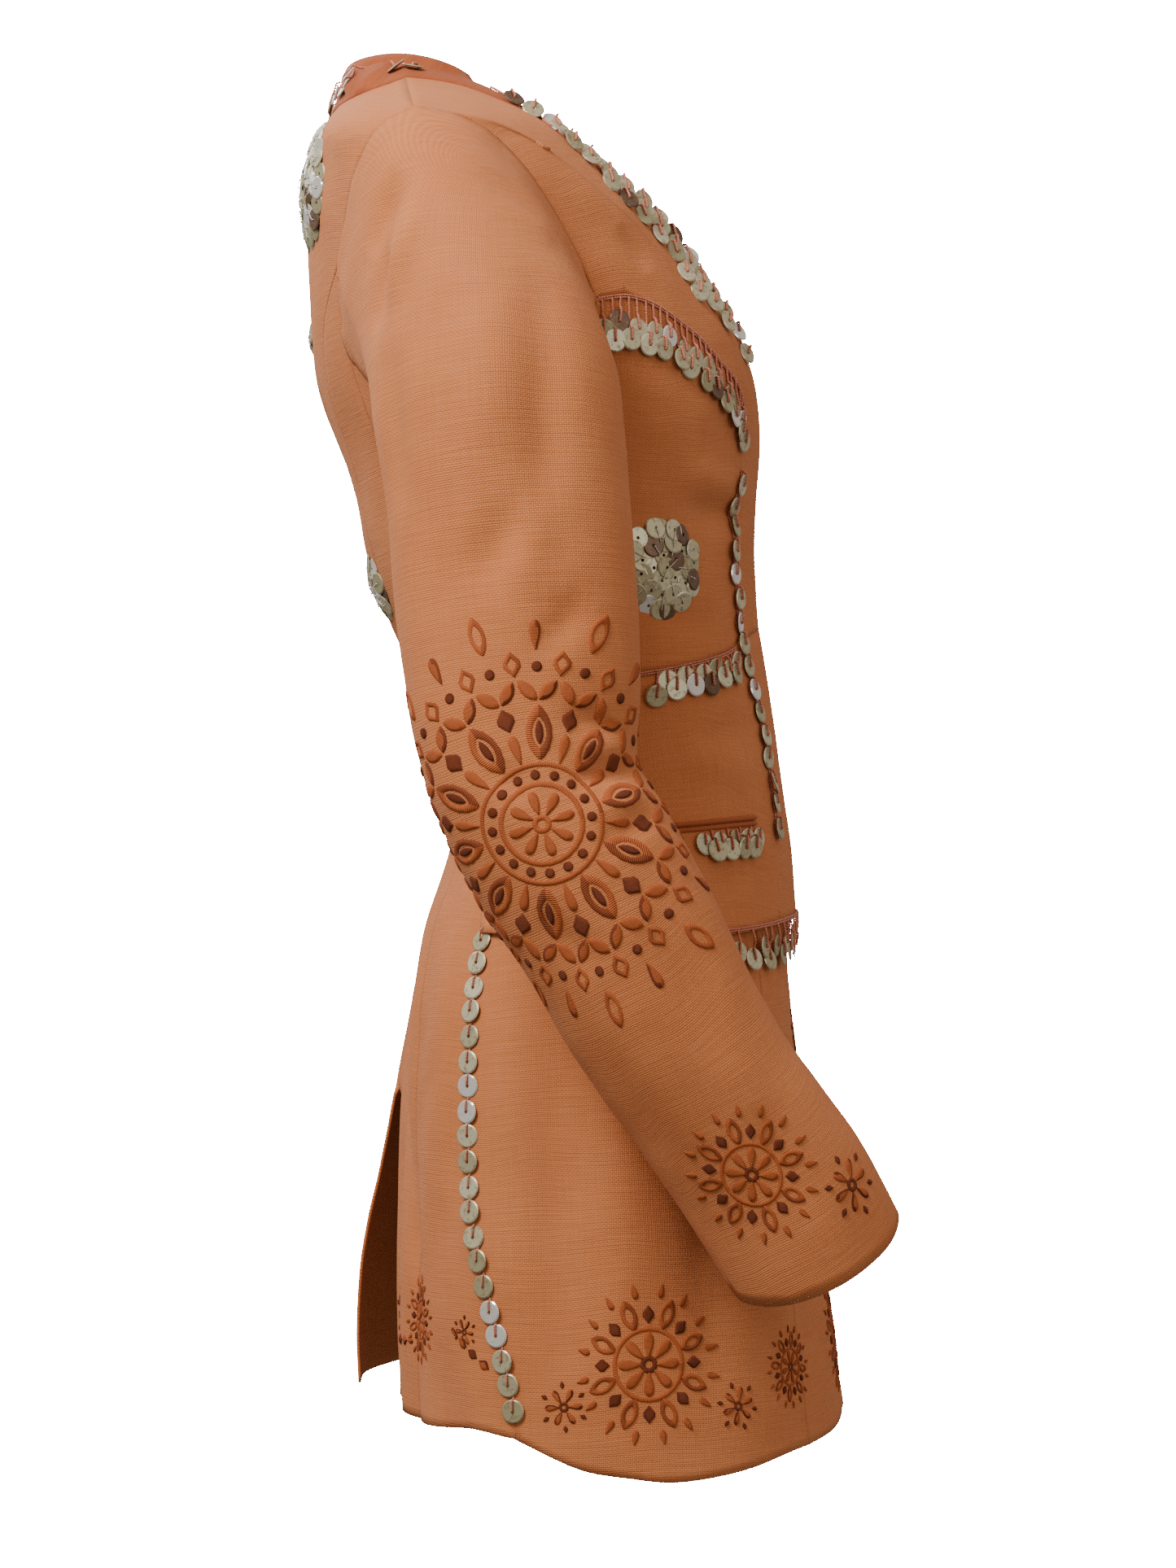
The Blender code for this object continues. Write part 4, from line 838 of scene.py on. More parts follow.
def make_metal():
    material, tree, shader = new_material("metal_discs")
    tone = add_node(tree, "ShaderNodeAttribute", {"attribute_name": "tone"}).outputs["Fac"]
    where = add_node(tree, "ShaderNodeTexCoord")
    spots = add_node(
        tree, "ShaderNodeTexNoise", Vector=where.outputs["Object"], Scale=420.0, Detail=4.0, Roughness=0.6)
    tarnish = spread(tree, spots.outputs["Fac"], 0.52, 0.68)
    clean = blend_colours(
        tree, spread(tree, tone, 0.25, 0.75), (0.38, 0.35, 0.20, 1), (0.60, 0.57, 0.39, 1))
    bright = blend_colours(tree, spread(tree, tone, 0.86, 0.90), clean, (0.74, 0.73, 0.68, 1))
    dark = blend_colours(tree, spread(tree, tone, 0.10, 0.06), bright, (0.13, 0.075, 0.045, 1))
    shown = maths(tree, "MULTIPLY", tarnish, spread(tree, tone, 0.90, 0.80, 0.15, 0.75))
    colour = blend_colours(tree, shown, dark, (0.24, 0.14, 0.065, 1))
    tree.links.new(colour, shader.inputs["Base Color"])
    tree.links.new(spread(tree, tone, 0.82, 0.90, 0.42, 0.14), shader.inputs["Roughness"])
    bump = add_node(tree, "ShaderNodeBump", Strength=0.25, Distance=0.0002, Height=spots.outputs["Fac"])
    tree.links.new(bump.outputs[0], shader.inputs["Normal"])
    shader.inputs["Metallic"].default_value = 0.62
    return material


def make_thread(name, light, dark, roughness, sheen):
    material, tree, shader = new_material(name)
    where = add_node(tree, "ShaderNodeTexCoord")
    fibres = add_node(tree, "ShaderNodeTexNoise", Vector=where.outputs["Object"], Scale=900.0, Detail=2.0)
    colour = blend_colours(tree, spread(tree, fibres.outputs["Fac"], 0.35, 0.65), dark, light)
    tree.links.new(colour, shader.inputs["Base Color"])
    shader.inputs["Roughness"].default_value = roughness
    shader.inputs["Sheen Weight"].default_value = sheen
    return material


METAL = make_metal()
CORD = make_thread("corded_trim", (0.62, 0.205, 0.105, 1), (0.42, 0.105, 0.050, 1), 0.55, 0.2)
PALE_THREAD = make_thread("pale_thread", (0.80, 0.76, 0.70, 1), (0.60, 0.55, 0.48, 1), 0.35, 0.1)
print("trim finishes:", METAL.name, CORD.name, PALE_THREAD.name)

# %% [markdown]
# ## Twisted cord
# A cord is a curve with a rhombus for its section. The rhombus turns as it moves along, and
# its two ridges become the two plies. One curve object holds all the cords of a trim, and is
# then made into a mesh. Every trim ends as a piece that stands for one solid of the model.

# %% Make twisted cords
CORD_STEP = 0.0004
CORD_LAY = 0.0030
CORD_WIDTH = 0.0016
PLY_SHARE = 0.62

section = bpy.data.curves.new("cord_section", "CURVE")
section.dimensions = "2D"
rhombus = section.splines.new("POLY")
rhombus.points.add(3)
for corner, (x, y) in zip(rhombus.points, ((1, 0), (0, PLY_SHARE), (-1, 0), (0, -PLY_SHARE))):
    corner.co = (x * 0.5, y * 0.5, 0.0, 1.0)
rhombus.use_cyclic_u = True
section_holder = bpy.data.objects.new("cord_section", section)
print("turns in a metre of cord:", round(1 / CORD_LAY))


def even_points(points, step):
    """Points at equal distances along a line."""
    line = np.array([tuple(point) for point in points])
    lengths = np.concatenate([[0.0], np.cumsum(np.linalg.norm(np.diff(line, axis=0), axis=1))])
    count = max(int(round(lengths[-1] / step)), 2)
    marks = np.linspace(0.0, lengths[-1], count + 1)
    return np.column_stack([np.interp(marks, lengths, line[:, k]) for k in range(3)])


def new_curve(name):
    curve = bpy.data.curves.new(name, "CURVE")
    curve.dimensions = "3D"
    curve.use_fill_caps = True
    return curve


def curve_mesh(curve):
    """The mesh that a curve draws."""
    holder = bpy.data.objects.new(curve.name, curve)
    bpy.context.scene.collection.objects.link(holder)
    graph = bpy.context.evaluated_depsgraph_get()
    mesh = bpy.data.meshes.new_from_object(holder.evaluated_get(graph))
    bpy.data.objects.remove(holder)
    mesh.shade_smooth()
    return mesh


def twisted_cords(name, strands):
    """One mesh of many cords. A strand is its points and its width."""
    curve = new_curve(name)
    curve.bevel_mode = "OBJECT"
    curve.bevel_object = section_holder
    for points, width in strands:
        fine = even_points(points, CORD_STEP)
        spline = curve.splines.new("POLY")
        spline.points.add(len(fine) - 1)
        spline.points.foreach_set("co", np.column_stack([fine, np.ones(len(fine))]).ravel())
        spline.points.foreach_set("radius", np.full(len(fine), width))
        spline.points.foreach_set("tilt", np.arange(len(fine)) * (2 * math.pi * CORD_STEP / CORD_LAY))
    return curve_mesh(curve)


def new_piece(name, mesh, material):
    """Puts a finished mesh into the scene."""
    mesh.materials.clear()
    mesh.materials.append(material)
    piece = bpy.data.objects.new(name, mesh)
    bpy.context.scene.collection.objects.link(piece)
    return piece


# %% [markdown]
# ## A disc
# A disc is turned from a small section, as on a lathe: a flat ring with a hole in the middle
# and a rounded rim. All the discs of a trim are copies of this one.

# %% Turn a disc
DISC_RADIUS = 0.0060
FLAT_RADIUS = 0.0053
HOLE_RADIUS = 0.0009
DISC_HALF = 0.00045
DISC_SECTION = [
    (HOLE_RADIUS, DISC_HALF), (FLAT_RADIUS, DISC_HALF), (DISC_RADIUS, -0.2 * DISC_HALF),
    (FLAT_RADIUS, -DISC_HALF), (HOLE_RADIUS, -DISC_HALF)]
DISC_STEPS = 18
DISC_CREASE = math.radians(35)

disc_form = bmesh.new()
ring = [disc_form.verts.new((radius, 0.0, height)) for radius, height in DISC_SECTION]
rims = [disc_form.edges.new((ring[k - 1], ring[k])) for k in range(len(ring))]
bmesh.ops.spin(
    disc_form, geom=ring + rims, cent=(0, 0, 0), axis=(0, 0, 1), angle=2 * math.pi, steps=DISC_STEPS,
    use_merge=True)
bmesh.ops.remove_doubles(disc_form, verts=disc_form.verts, dist=0.00001)
bmesh.ops.recalc_face_normals(disc_form, faces=disc_form.faces)
DISC = bpy.data.meshes.new("disc")
disc_form.to_mesh(DISC)
disc_form.free()
print("faces in a disc:", len(DISC.polygons))

# %% Lay many discs
Placed = namedtuple("Placed", "place facing turn tone")


def make_discs(name, discs):
    """One mesh of many discs, each with its tone."""
    points = []
    faces = []
    tones = []
    for disc in discs:
        aim = disc.facing.to_track_quat("Z", "Y").to_matrix().to_4x4()
        where = Matrix.Translation(disc.place) @ aim @ Matrix.Rotation(disc.turn, 4, "Z")
        start = len(points)
        points.extend(where @ vert.co for vert in DISC.vertices)
        faces.extend([start + k for k in face.vertices] for face in DISC.polygons)
        tones.extend([disc.tone] * len(DISC.polygons))
    mesh = bpy.data.meshes.new(name)
    mesh.from_pydata(points, [], faces)
    mesh.attributes.new("tone", "FLOAT", "FACE").data.foreach_set("value", tones)
    mesh.shade_smooth()
    mesh.set_sharp_from_angle(angle=DISC_CREASE)
    return mesh


# %% [markdown]
# ## Sewing on
# A trim gathers its cords, discs and threads while it is laid out, and then makes one piece of
# each kind. A hanging cord is followed down the cloth in small steps. It lies on the cloth
# where it touches, and hangs free where the cloth falls away. The last stretch of the cord
# passes over its disc and dips into the hole.

# %% Trims
CORD_LIFT = 0.0008
HANG_STEP = 0.0010
PULL_BACK = 0.12
DISC_CLEAR = 0.0012
BRAID_WIDTH = 0.0012
DOWN = Vector((0.0, 0.0, -1.0))
DARK_BELOW = 0.06
MIRROR_ABOVE = 0.88
DARK_TONE = 0.03
MIRROR_TONE = 0.95
trims = {}


class Trim:
    """Cords and discs sewn on in one place, which stand for one solid of the model."""

    def __init__(self, node, seed):
        self.node = node
        self.strands = []
        self.threads = []
        self.discs = []
        self.chance = random.Random(seed)

    def any_tone(self):
        roll = self.chance.random()
        if roll < DARK_BELOW:
            return DARK_TONE
        if roll > MIRROR_ABOVE:
            return MIRROR_TONE
        return 0.2 + 0.6 * self.chance.random()

    def disc(self, place, facing, loose=0.10):
        wobble = Vector([self.chance.gauss(0, loose) for _ in range(3)])
        turn = self.chance.uniform(0, 6.28)
        placed = Placed(place, (facing + wobble).normalized(), turn, self.any_tone())
        self.discs.append(placed)
        return placed

    def over_disc(self, way, placed):
        """Ends a cord on its disc: over the upper half, then down into the hole."""
        along = placed.place - way[0]
        along = (along - placed.facing * along.dot(placed.facing)).normalized()
        over = placed.place + placed.facing * (DISC_HALF + CORD_LIFT)
        kept = [point for point in way if (point - placed.place).length > DISC_RADIUS + DISC_CLEAR]
        return kept + [over - along * DISC_RADIUS, over, placed.place - placed.facing * DISC_HALF]

    def run(self, ground, start, end, lift, lean_out):
        """A cord along the cloth between two places, with a disc at its end that leans outwards."""
        count = int((end - start).length / HANG_STEP) + 2
        way = []
        for k in range(count):
            place, normal = ground.near(start.lerp(end, k / (count - 1)))
            way.append(place + normal * CORD_LIFT)
        placed = self.disc(place + normal * lift, (normal + lean_out).normalized())
        self.strands.append((self.over_disc(way, placed), CORD_WIDTH))

    def hang(self, ground, start, length, disc_lift, lean):
        """A cord down the cloth from a point, with a disc at its end."""
        place, normal = ground.near(start)
        point = place + normal * CORD_LIFT
        way = [point]
        across = normal.cross(DOWN).normalized() * lean
        for _ in range(int(length / HANG_STEP)):
            fall = DOWN + across
            gap = (point - place).dot(normal)
            if gap < 3 * CORD_LIFT:
                fall = fall - normal * fall.dot(normal)
            point = point + fall.normalized() * HANG_STEP
            place, normal = ground.near(point)
            gap = (point - place).dot(normal)
            pull = 1.0 if gap < CORD_LIFT else PULL_BACK
            point = point + normal * (pull * (CORD_LIFT - gap))
            way.append(point)
        placed = self.disc(point + normal * (disc_lift - CORD_LIFT + DISC_HALF), normal)
        self.strands.append((self.over_disc(way, placed), CORD_WIDTH))

    def braid(self, ground, points):
        """Two cords side by side along a seam."""
        for way in (-0.5, 0.5):
            row = []
            for k, point in enumerate(points):
                ahead = points[min(k + 1, len(points) - 1)] - points[max(k - 1, 0)]
                place, normal = ground.near(point)
                aside = ahead.cross(normal).normalized() * (way * BRAID_WIDTH * 0.95)
                row.append(place + aside + normal * BRAID_WIDTH * 0.5)
            self.strands.append((row, BRAID_WIDTH))

    def finish(self):
        """Makes the pieces, and keeps them by the name of the model's solid."""
        pieces = []
        for kind, slot_name, things, make, material in (
            ("cords", "corded_trim", self.strands, twisted_cords, CORD),
            ("threads", "corded_trim", self.threads, twisted_cords, PALE_THREAD),
            ("discs", "metal_discs", self.discs, make_discs, METAL),
        ):
            if not things:
                continue
            piece = new_piece(f"{self.node}_{kind}", make(kind, things), material)
            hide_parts(self.node)
            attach(piece, "root")
            pieces.append(piece)
        trims[self.node] = pieces


# %% [markdown]
# ## Lines on the cloth
# A line is a short table of marks seen from the side or from the front. It is drawn as a
# smooth curve through the places where those looks meet the cloth, and then laid on it.

# %% Lines
Mark = namedtuple("Mark", "look across z")
LINE_STEP = 0.0010
BEND_STEPS = 12


def bend_through(points):
    """A smooth curve through some points."""
    curve = []
    last = len(points) - 1
    for k in range(last):
        before = points[max(k - 1, 0)]
        start = points[k]
        end = points[k + 1]
        after = points[min(k + 2, last)]
        for step in range(BEND_STEPS):
            t = step / BEND_STEPS
            curve.append(0.5 * (
                2 * start + (end - before) * t + (2 * before - 5 * start + 4 * end - after) * t ** 2
                + (3 * start - before - 3 * end + after) * t ** 3))
    curve.append(points[-1])
    return curve


def line_on(ground, marks, side, lift=0.0):
    """Even points along a smooth line on the cloth through some marks."""
    hits = [ground.seen(mark.look, mark.across, mark.z, side) for mark in marks]
    line = []
    for point in bend_through([hit for hit in hits if hit]):
        place, normal = ground.near(point)
        line.append(place + normal * lift)
    return [Vector(point) for point in even_points(line, LINE_STEP)]


def on_line(line, spot):
    """The place at a distance along a line, or the line's end."""
    return line[min(int(spot / LINE_STEP), len(line) - 1)]


# %% The lines' marks
BUST_MARKS = [
    Mark("side", -0.1000, -0.1345), Mark("side", -0.1145, -0.1318), Mark("side", -0.1285, -0.1345),
    Mark("side", -0.1415, -0.1415), Mark("side", -0.1530, -0.1490), Mark("side", -0.1625, -0.1580),
    Mark("front", -0.0900, -0.1680), Mark("front", -0.0798, -0.1825), Mark("front", -0.0766, -0.2000),
]
WAIST_MARKS = [
    Mark("front", -0.0860, -0.3080), Mark("front", -0.1000, -0.3120), Mark("side", -0.1520, -0.3162),
    Mark("side", -0.1325, -0.3208), Mark("side", -0.1110, -0.3240), Mark("side", -0.0870, -0.3255),
    Mark("side", -0.0620, -0.3265),
]
WELT_MARKS = [
    Mark("side", -0.1825, -0.3965), Mark("side", -0.1700, -0.3975), Mark("side", -0.1540, -0.3990),
    Mark("side", -0.1370, -0.4005),
]
LEDGE_MARKS = [
    Mark("front", -0.0160, -0.4475), Mark("front", -0.0400, -0.4485), Mark("front", -0.0640, -0.4495),
    Mark("front", -0.0900, -0.4508), Mark("front", -0.1130, -0.4525), Mark("side", -0.1690, -0.4540),
    Mark("side", -0.1480, -0.4540), Mark("side", -0.1225, -0.4538), Mark("side", -0.0840, -0.4535),
]
FRONT_ROW_MARKS = [
    Mark("front", -0.0782, -0.2130), Mark("front", -0.0805, -0.2400), Mark("front", -0.0803, -0.2650),
    Mark("front", -0.0772, -0.2880), Mark("front", -0.0745, -0.3040), Mark("front", -0.0722, -0.3250),
    Mark("front", -0.0716, -0.3500), Mark("front", -0.0738, -0.3850), Mark("front", -0.0766, -0.4080),
]
SIDE_ROW_MARKS = [
    Mark("side", -0.0402, -0.4600), Mark("side", -0.0362, -0.4850), Mark("side", -0.0340, -0.5250),
    Mark("side", -0.0338, -0.5600), Mark("side", -0.0352, -0.5950), Mark("side", -0.0405, -0.6240),
    Mark("side", -0.0480, -0.6520), Mark("side", -0.0560, -0.6850), Mark("side", -0.0595, -0.7040),
]
print("bust seam's length:", round(len(line_on(BODY, BUST_MARKS, RIGHT)) * LINE_STEP, 3), "m")

# %% [markdown]
# ## Fringes
# The same kind of fringe hangs from three seams. Each has a braid, and cords whose lengths
# alternate, so the discs overlap in two rows. The numbers differ by place: long ends at the
# bust, short ones at the waist. Towards the back, under the sleeve, the cords of the waist and
# of the tier's ledge are further apart.

# %% Hang the fringes
Fringe = namedtuple("Fringe", "name marks first close pitch count short long")
FRINGE_START = 0.0025
UNEVEN_SPOT = 0.0006
UNEVEN_LENGTH = 0.0015
FRINGE_LIFTS = (0.0010, 0.0022)
FRINGE_LEAN = 0.10


def make_fringe(fringe, side, seed):
    trim = Trim(f"{fringe.name}_{SIDES[side]}", seed)
    line = line_on(BODY, fringe.marks, side)
    trim.braid(BODY, line)
    spots = [FRINGE_START + k * fringe.close for k in range(fringe.first)]
    spots += [spots[-1] + k * fringe.pitch for k in range(1, fringe.count - fringe.first + 1)]
    for k, spot in enumerate(spots):
        place = on_line(line, spot + trim.chance.uniform(-UNEVEN_SPOT, UNEVEN_SPOT))
        length = (fringe.short, fringe.long)[k % 2]
        length += trim.chance.uniform(-UNEVEN_LENGTH, UNEVEN_LENGTH)
        lean = trim.chance.uniform(-FRINGE_LEAN, FRINGE_LEAN)
        trim.hang(BODY, place, length, FRINGE_LIFTS[k % 2], lean)
    trim.finish()


FRINGES = [
    Fringe("bust_fringe", BUST_MARKS, 24, 0.0053, 0.0053, 24, 0.0150, 0.0225),
    Fringe("waist_fringe", WAIST_MARKS, 12, 0.0056, 0.0200, 14, 0.0080, 0.0125),
    Fringe("tier_fringe", LEDGE_MARKS, 13, 0.0082, 0.0125, 20, 0.0125, 0.0180),
]
for side in SIDES:
    for number, fringe in enumerate(FRINGES):
        make_fringe(fringe, side, 10 * number + side)
print("fringe cords on a side:", [(fringe.name, fringe.count) for fringe in FRINGES])

# %% [markdown]
# ## Pocket welts
# A pocket is a slit with a round piping above and below it, in the collar's darker cloth, and
# a short fringe that hangs from the lower piping.

# %% Make the pocket welts
PIPING_RADIUS = 0.0014
PIPING_APART = 0.0031


def make_piping(name, lines):
    """Round pipings along some lines, thin at their ends."""
    curve = new_curve(name)
    curve.bevel_depth = PIPING_RADIUS
    curve.bevel_resolution = 2
    for points in lines:
        spline = curve.splines.new("POLY")
        spline.points.add(len(points) - 1)
        for k, (control, point) in enumerate(zip(spline.points, points)):
            control.co = (*point, 1.0)
            control.radius = min(1.0, 0.3 + 0.25 * min(k, len(points) - 1 - k))
    return new_piece(name, curve_mesh(curve), CLOTH_MATERIALS["piping_cloth"])


WELT_CORDS = 9
WELT_START = 0.0020
WELT_PITCH = 0.0052
WELT_LENGTHS = (0.0075, 0.0110)
for side, side_name in SIDES.items():
    node = "pocket_welt_" + side_name
    upper = line_on(BODY, WELT_MARKS, side, PIPING_RADIUS * 0.7)
    lower = [point + DOWN * PIPING_APART for point in upper]
    piping = make_piping(node + "_piping", [upper, lower])
    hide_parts(node)
    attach(piping, "root")
    trim = Trim(node, 70 + side)
    for k in range(WELT_CORDS):
        place = on_line(lower, WELT_START + k * WELT_PITCH) + DOWN * PIPING_RADIUS
        lean = trim.chance.uniform(-FRINGE_LEAN, FRINGE_LEAN)
        trim.hang(BODY, place, WELT_LENGTHS[k % 2], FRINGE_LIFTS[k % 2], lean)
    trim.finish()
    trims[node].append(piping)
print("welt length:", round(len(upper) * LINE_STEP, 3), "m")

# %% [markdown]
# ## Rows of discs
# Down the front seam the discs hang close together on short ends. Down the side seam they
# touch edge to edge, each held by one stitch that comes out of its hole and goes up.

# %% Sew the rows
FRONT_ROW_COUNT = 16
FRONT_ROW_PITCH = 0.0124
FRONT_LENGTH = 0.0090
FRONT_LIFTS = (0.0016, 0.0024)
SIDE_ROW_COUNT = 20
SIDE_ROW_PITCH = 0.0126
SIDE_LIFTS = (0.0011, 0.0017)
STITCH_LENGTH = 0.0068
STITCH_WIDTH = 0.0012
STITCH_RISE = 0.0013
STITCH_DIP = 0.0005

for side, side_name in SIDES.items():
    trim = Trim("front_discs_" + side_name, 80 + side)
    line = line_on(BODY, FRONT_ROW_MARKS, side)
    trim.braid(BODY, line)
    for k in range(FRONT_ROW_COUNT):
        length = FRONT_LENGTH + trim.chance.uniform(-0.001, 0.001)
        lean = trim.chance.uniform(-0.25, 0.25)
        trim.hang(BODY, on_line(line, k * FRONT_ROW_PITCH), length, FRONT_LIFTS[k % 2], lean)
    trim.finish()

    trim = Trim("side_discs_" + side_name, 90 + side)
    line = line_on(BODY, SIDE_ROW_MARKS, side)
    for k in range(SIDE_ROW_COUNT):
        place, normal = BODY.near(on_line(line, k * SIDE_ROW_PITCH))
        lift = SIDE_LIFTS[k % 2]
        trim.disc(place + normal * lift, normal, loose=0.06)
        top, top_normal = BODY.near(place + normal * (lift + DISC_HALF) - DOWN * STITCH_LENGTH)
        stitch = [place + normal * (lift - STITCH_DIP), place + normal * (lift + STITCH_RISE),
                  place.lerp(top, 0.7) + normal * (lift + 0.0014), top + top_normal * 0.0006]
        trim.strands.append((stitch, STITCH_WIDTH))
    trim.finish()
print("discs in a front row:", FRONT_ROW_COUNT, "in a side row:", SIDE_ROW_COUNT)

# %% [markdown]
# ## The collar's cords
# Round the neck one sparse row of cords hangs from the band. Down the chest three rows come
# out from the band's front edge, each with a disc at its end, and towards the point of the V
# they lie thick, one over the next. The table gives the band's inner and outer edge from the
# back of the neck to the V. The chest's edge is found by looking from the side.

# %% The band's edges
Edge = namedtuple("Edge", "inner outer")
COLLAR_EDGES = [
    Edge((0.0000, 0.0400, 0.0105), (0.0000, 0.0470, -0.0180)),
    Edge((-0.0260, 0.0375, 0.0115), (-0.0460, 0.0440, -0.0175)),
    Edge((-0.0500, 0.0270, 0.0115), (-0.0840, 0.0320, -0.0160)),
    Edge((-0.0660, 0.0090, 0.0105), (-0.1030, 0.0150, -0.0130)),
    Edge((-0.0720, -0.0100, 0.0070), (-0.1030, -0.0010, -0.0110)),
    Edge((-0.0735, -0.0300, -0.0010), (-0.1020, -0.0240, -0.0135)),
    Edge((-0.0710, -0.0470, -0.0095), (-0.1050, -0.0500, -0.0240)),
]
LAPEL_EDGES = [
    Edge((-0.0655, -0.0250), (-0.0960, -0.0430)),
    Edge((-0.0595, -0.0430), (-0.0870, -0.0620)),
    Edge((-0.0515, -0.0620), (-0.0770, -0.0810)),
    Edge((-0.0440, -0.0790), (-0.0670, -0.0980)),
    Edge((-0.0355, -0.0960), (-0.0560, -0.1150)),
    Edge((-0.0240, -0.1160), (-0.0420, -0.1330)),
    Edge((-0.0120, -0.1330), (-0.0270, -0.1480)),
    Edge((-0.0030, -0.1450), (-0.0130, -0.1570)),
]


def band_line(share, side):
    """A line along the band at a share of its width."""
    points = []
    for edge in COLLAR_EDGES:
        point = Vector(edge.inner).lerp(Vector(edge.outer), share)
        points.append(COLLAR.near(Vector((-side * point.x, point.y, point.z)))[0])
    for edge in LAPEL_EDGES:
        x, z = Vector(edge.inner).lerp(Vector(edge.outer), share)
        points.append(BODY_AND_COLLAR.seen("front", x, z, side))
    return [Vector(point) for point in even_points(bend_through(points), LINE_STEP)]


# %% Rows down the chest
ChestRow = namedtuple("ChestRow", "inwards first count pitch lift")
CHEST_ROWS = [
    ChestRow(0.0006, 0.004, 16, 0.0122, 0.0026),
    ChestRow(0.0040, 0.034, 12, 0.0122, 0.0032),
    ChestRow(0.0085, 0.074, 7, 0.0124, 0.0024),
]
CHEST_TOP = -0.008
CHEST_LOW = -0.156
CHEST_STEP = 0.004
CHEST_FRONT = -0.215
SEEK_STEP = 0.0005
CHEST_OUT = 0.0060
CHEST_FALL = 0.0160
CHEST_LEAN = 0.55


def chest_edge(side):
    """The front edge of the chest, as the side view shows it, from the neck to the V."""
    edge = []
    z = CHEST_TOP
    while z > CHEST_LOW:
        y = CHEST_FRONT
        while y < 0.0 and BODY_AND_COLLAR.seen("side", y, z, side) is None:
            y += SEEK_STEP
        edge.append(Vector((0.0, y, z)))
        z -= CHEST_STEP
    return [Vector(point) for point in even_points(edge, LINE_STEP)]


def dress_chest(trim, side):
    """Rows of cords that run down from the band's edge on to the chest."""
    edge = chest_edge(side)
    cords = 0
    for row in CHEST_ROWS:
        for k in range(row.count):
            spot = min(int((row.first + k * row.pitch) / LINE_STEP), len(edge) - 2)
            down = (edge[spot + 1] - edge[spot]).normalized()
            inwards = Vector((0.0, -down.z, down.y))
            top = edge[spot] + inwards * row.inwards
            out = CHEST_OUT + trim.chance.uniform(-UNEVEN_LENGTH, UNEVEN_LENGTH)
            low = top + inwards * out + down * CHEST_FALL
            ends = [BODY_AND_COLLAR.seen("side", point.y, point.z, side) for point in (top, low)]
            if None not in ends:
                trim.run(BODY_AND_COLLAR, *ends, row.lift, Vector((side * CHEST_LEAN, 0.0, 0.0)))
                cords += 1
    return cords


# %% Dress the collar
NeckRow = namedtuple("NeckRow", "share first last pitch length lift")
NECK_ROW = NeckRow(0.30, 0.012, 0.110, 0.0150, 0.0120, 0.0012)

collar_trim = Trim("collar_discs", 5)
collar_cords = 0
for side in SIDES:
    collar_cords += dress_chest(collar_trim, side)
    line = band_line(NECK_ROW.share, side)
    spot = NECK_ROW.first
    while spot < NECK_ROW.last:
        length = NECK_ROW.length + collar_trim.chance.uniform(-0.002, 0.003)
        lean = side * collar_trim.chance.uniform(-0.1, 0.4)
        collar_trim.hang(BODY_AND_COLLAR, on_line(line, spot), length, NECK_ROW.lift, lean)
        collar_cords += 1
        spot += NECK_ROW.pitch * collar_trim.chance.uniform(0.85, 1.15)
collar_trim.finish()
hanging = 2 * (sum(fringe.count for fringe in FRINGES) + WELT_CORDS + FRONT_ROW_COUNT) + collar_cords
print("cords on the collar:", collar_cords, "hanging cords in all:", hanging)

# %% [markdown]
# ## Rosettes
# A rosette is a round heap of discs laid in rings from the outside in, each ring over the one
# before. Pale stitches run from every other hole towards the middle. Its place comes from the
# solid that it stands for.

# %% Heap the rosettes
Rosette = namedtuple("Rosette", "name radius rings")
ROSETTES = [
    Rosette("rosette_bodice", 0.0275, (17, 11, 5, 1)),
    Rosette("rosette_shoulder", 0.0370, (24, 18, 12, 6, 1)),
    Rosette("rosette_back_waist", 0.0200, (11, 6, 1)),
]
MID_BACK = Rosette("rosette_mid_back", 0.0125, (7, 1))
RING_RISE = 0.0010
PETAL_TILT = 0.26
PALE_STITCH = 0.0075
PALE_WIDTH = 0.0007


def cloth_axes(facing):
    """Sideways and upwards along cloth that faces a way."""
    right = facing.cross(Vector((0, 0, 1))).normalized()
    return right, right.cross(facing).normalized()


def heap_rosette(rosette, node, seed):
    """Heaps the discs about the middle of the solid that the rosette stands for."""
    trim = Trim(node, seed)
    low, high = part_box(node)
    middle, facing = BODY.near((Vector(low) + Vector(high)) / 2)
    right, up = cloth_axes(facing)
    levels = len(rosette.rings)
    reach = rosette.radius - DISC_RADIUS
    for ring_number, count in enumerate(rosette.rings):
        share = 1.0 - ring_number / max(levels - 1, 1)
        for k in range(count):
            angle = 2 * math.pi * (k + 0.5 * ring_number) / count + trim.chance.gauss(0, 0.06)
            radius = reach * share * trim.chance.uniform(0.93, 1.03)
            out = (right * math.cos(angle) + up * math.sin(angle)).normalized()
            place, normal = BODY.near(middle + out * radius)
            lift = 0.0010 + RING_RISE * ring_number + 0.0006 * (k % 2)
            uneven = Vector([trim.chance.gauss(0, 0.05) for _ in range(3)])
            tilt = normal + out * (PETAL_TILT * (0.3 + 0.7 * share)) + uneven
            centre = place + normal * lift
            trim.disc(centre, tilt.normalized(), loose=0.03)
            if share > 0 and k % 2:
                inner = middle.lerp(place, max(0.0, (radius - PALE_STITCH) / max(radius, 0.001)))
                thread = [centre, centre + normal * STITCH_RISE, inner + normal * (lift + 0.0022)]
                trim.threads.append((thread, PALE_WIDTH))
    trim.finish()


for side, side_name in SIDES.items():
    for number, rosette in enumerate(ROSETTES):
        heap_rosette(rosette, f"{rosette.name}_{side_name}", 120 + 10 * number + side)
heap_rosette(MID_BACK, MID_BACK.name, 119)
disc_faces = sum(len(piece.data.polygons) for pieces in trims.values() for piece in pieces
                 if piece.name.endswith("_discs"))
print("discs in all:", disc_faces // len(DISC.polygons))
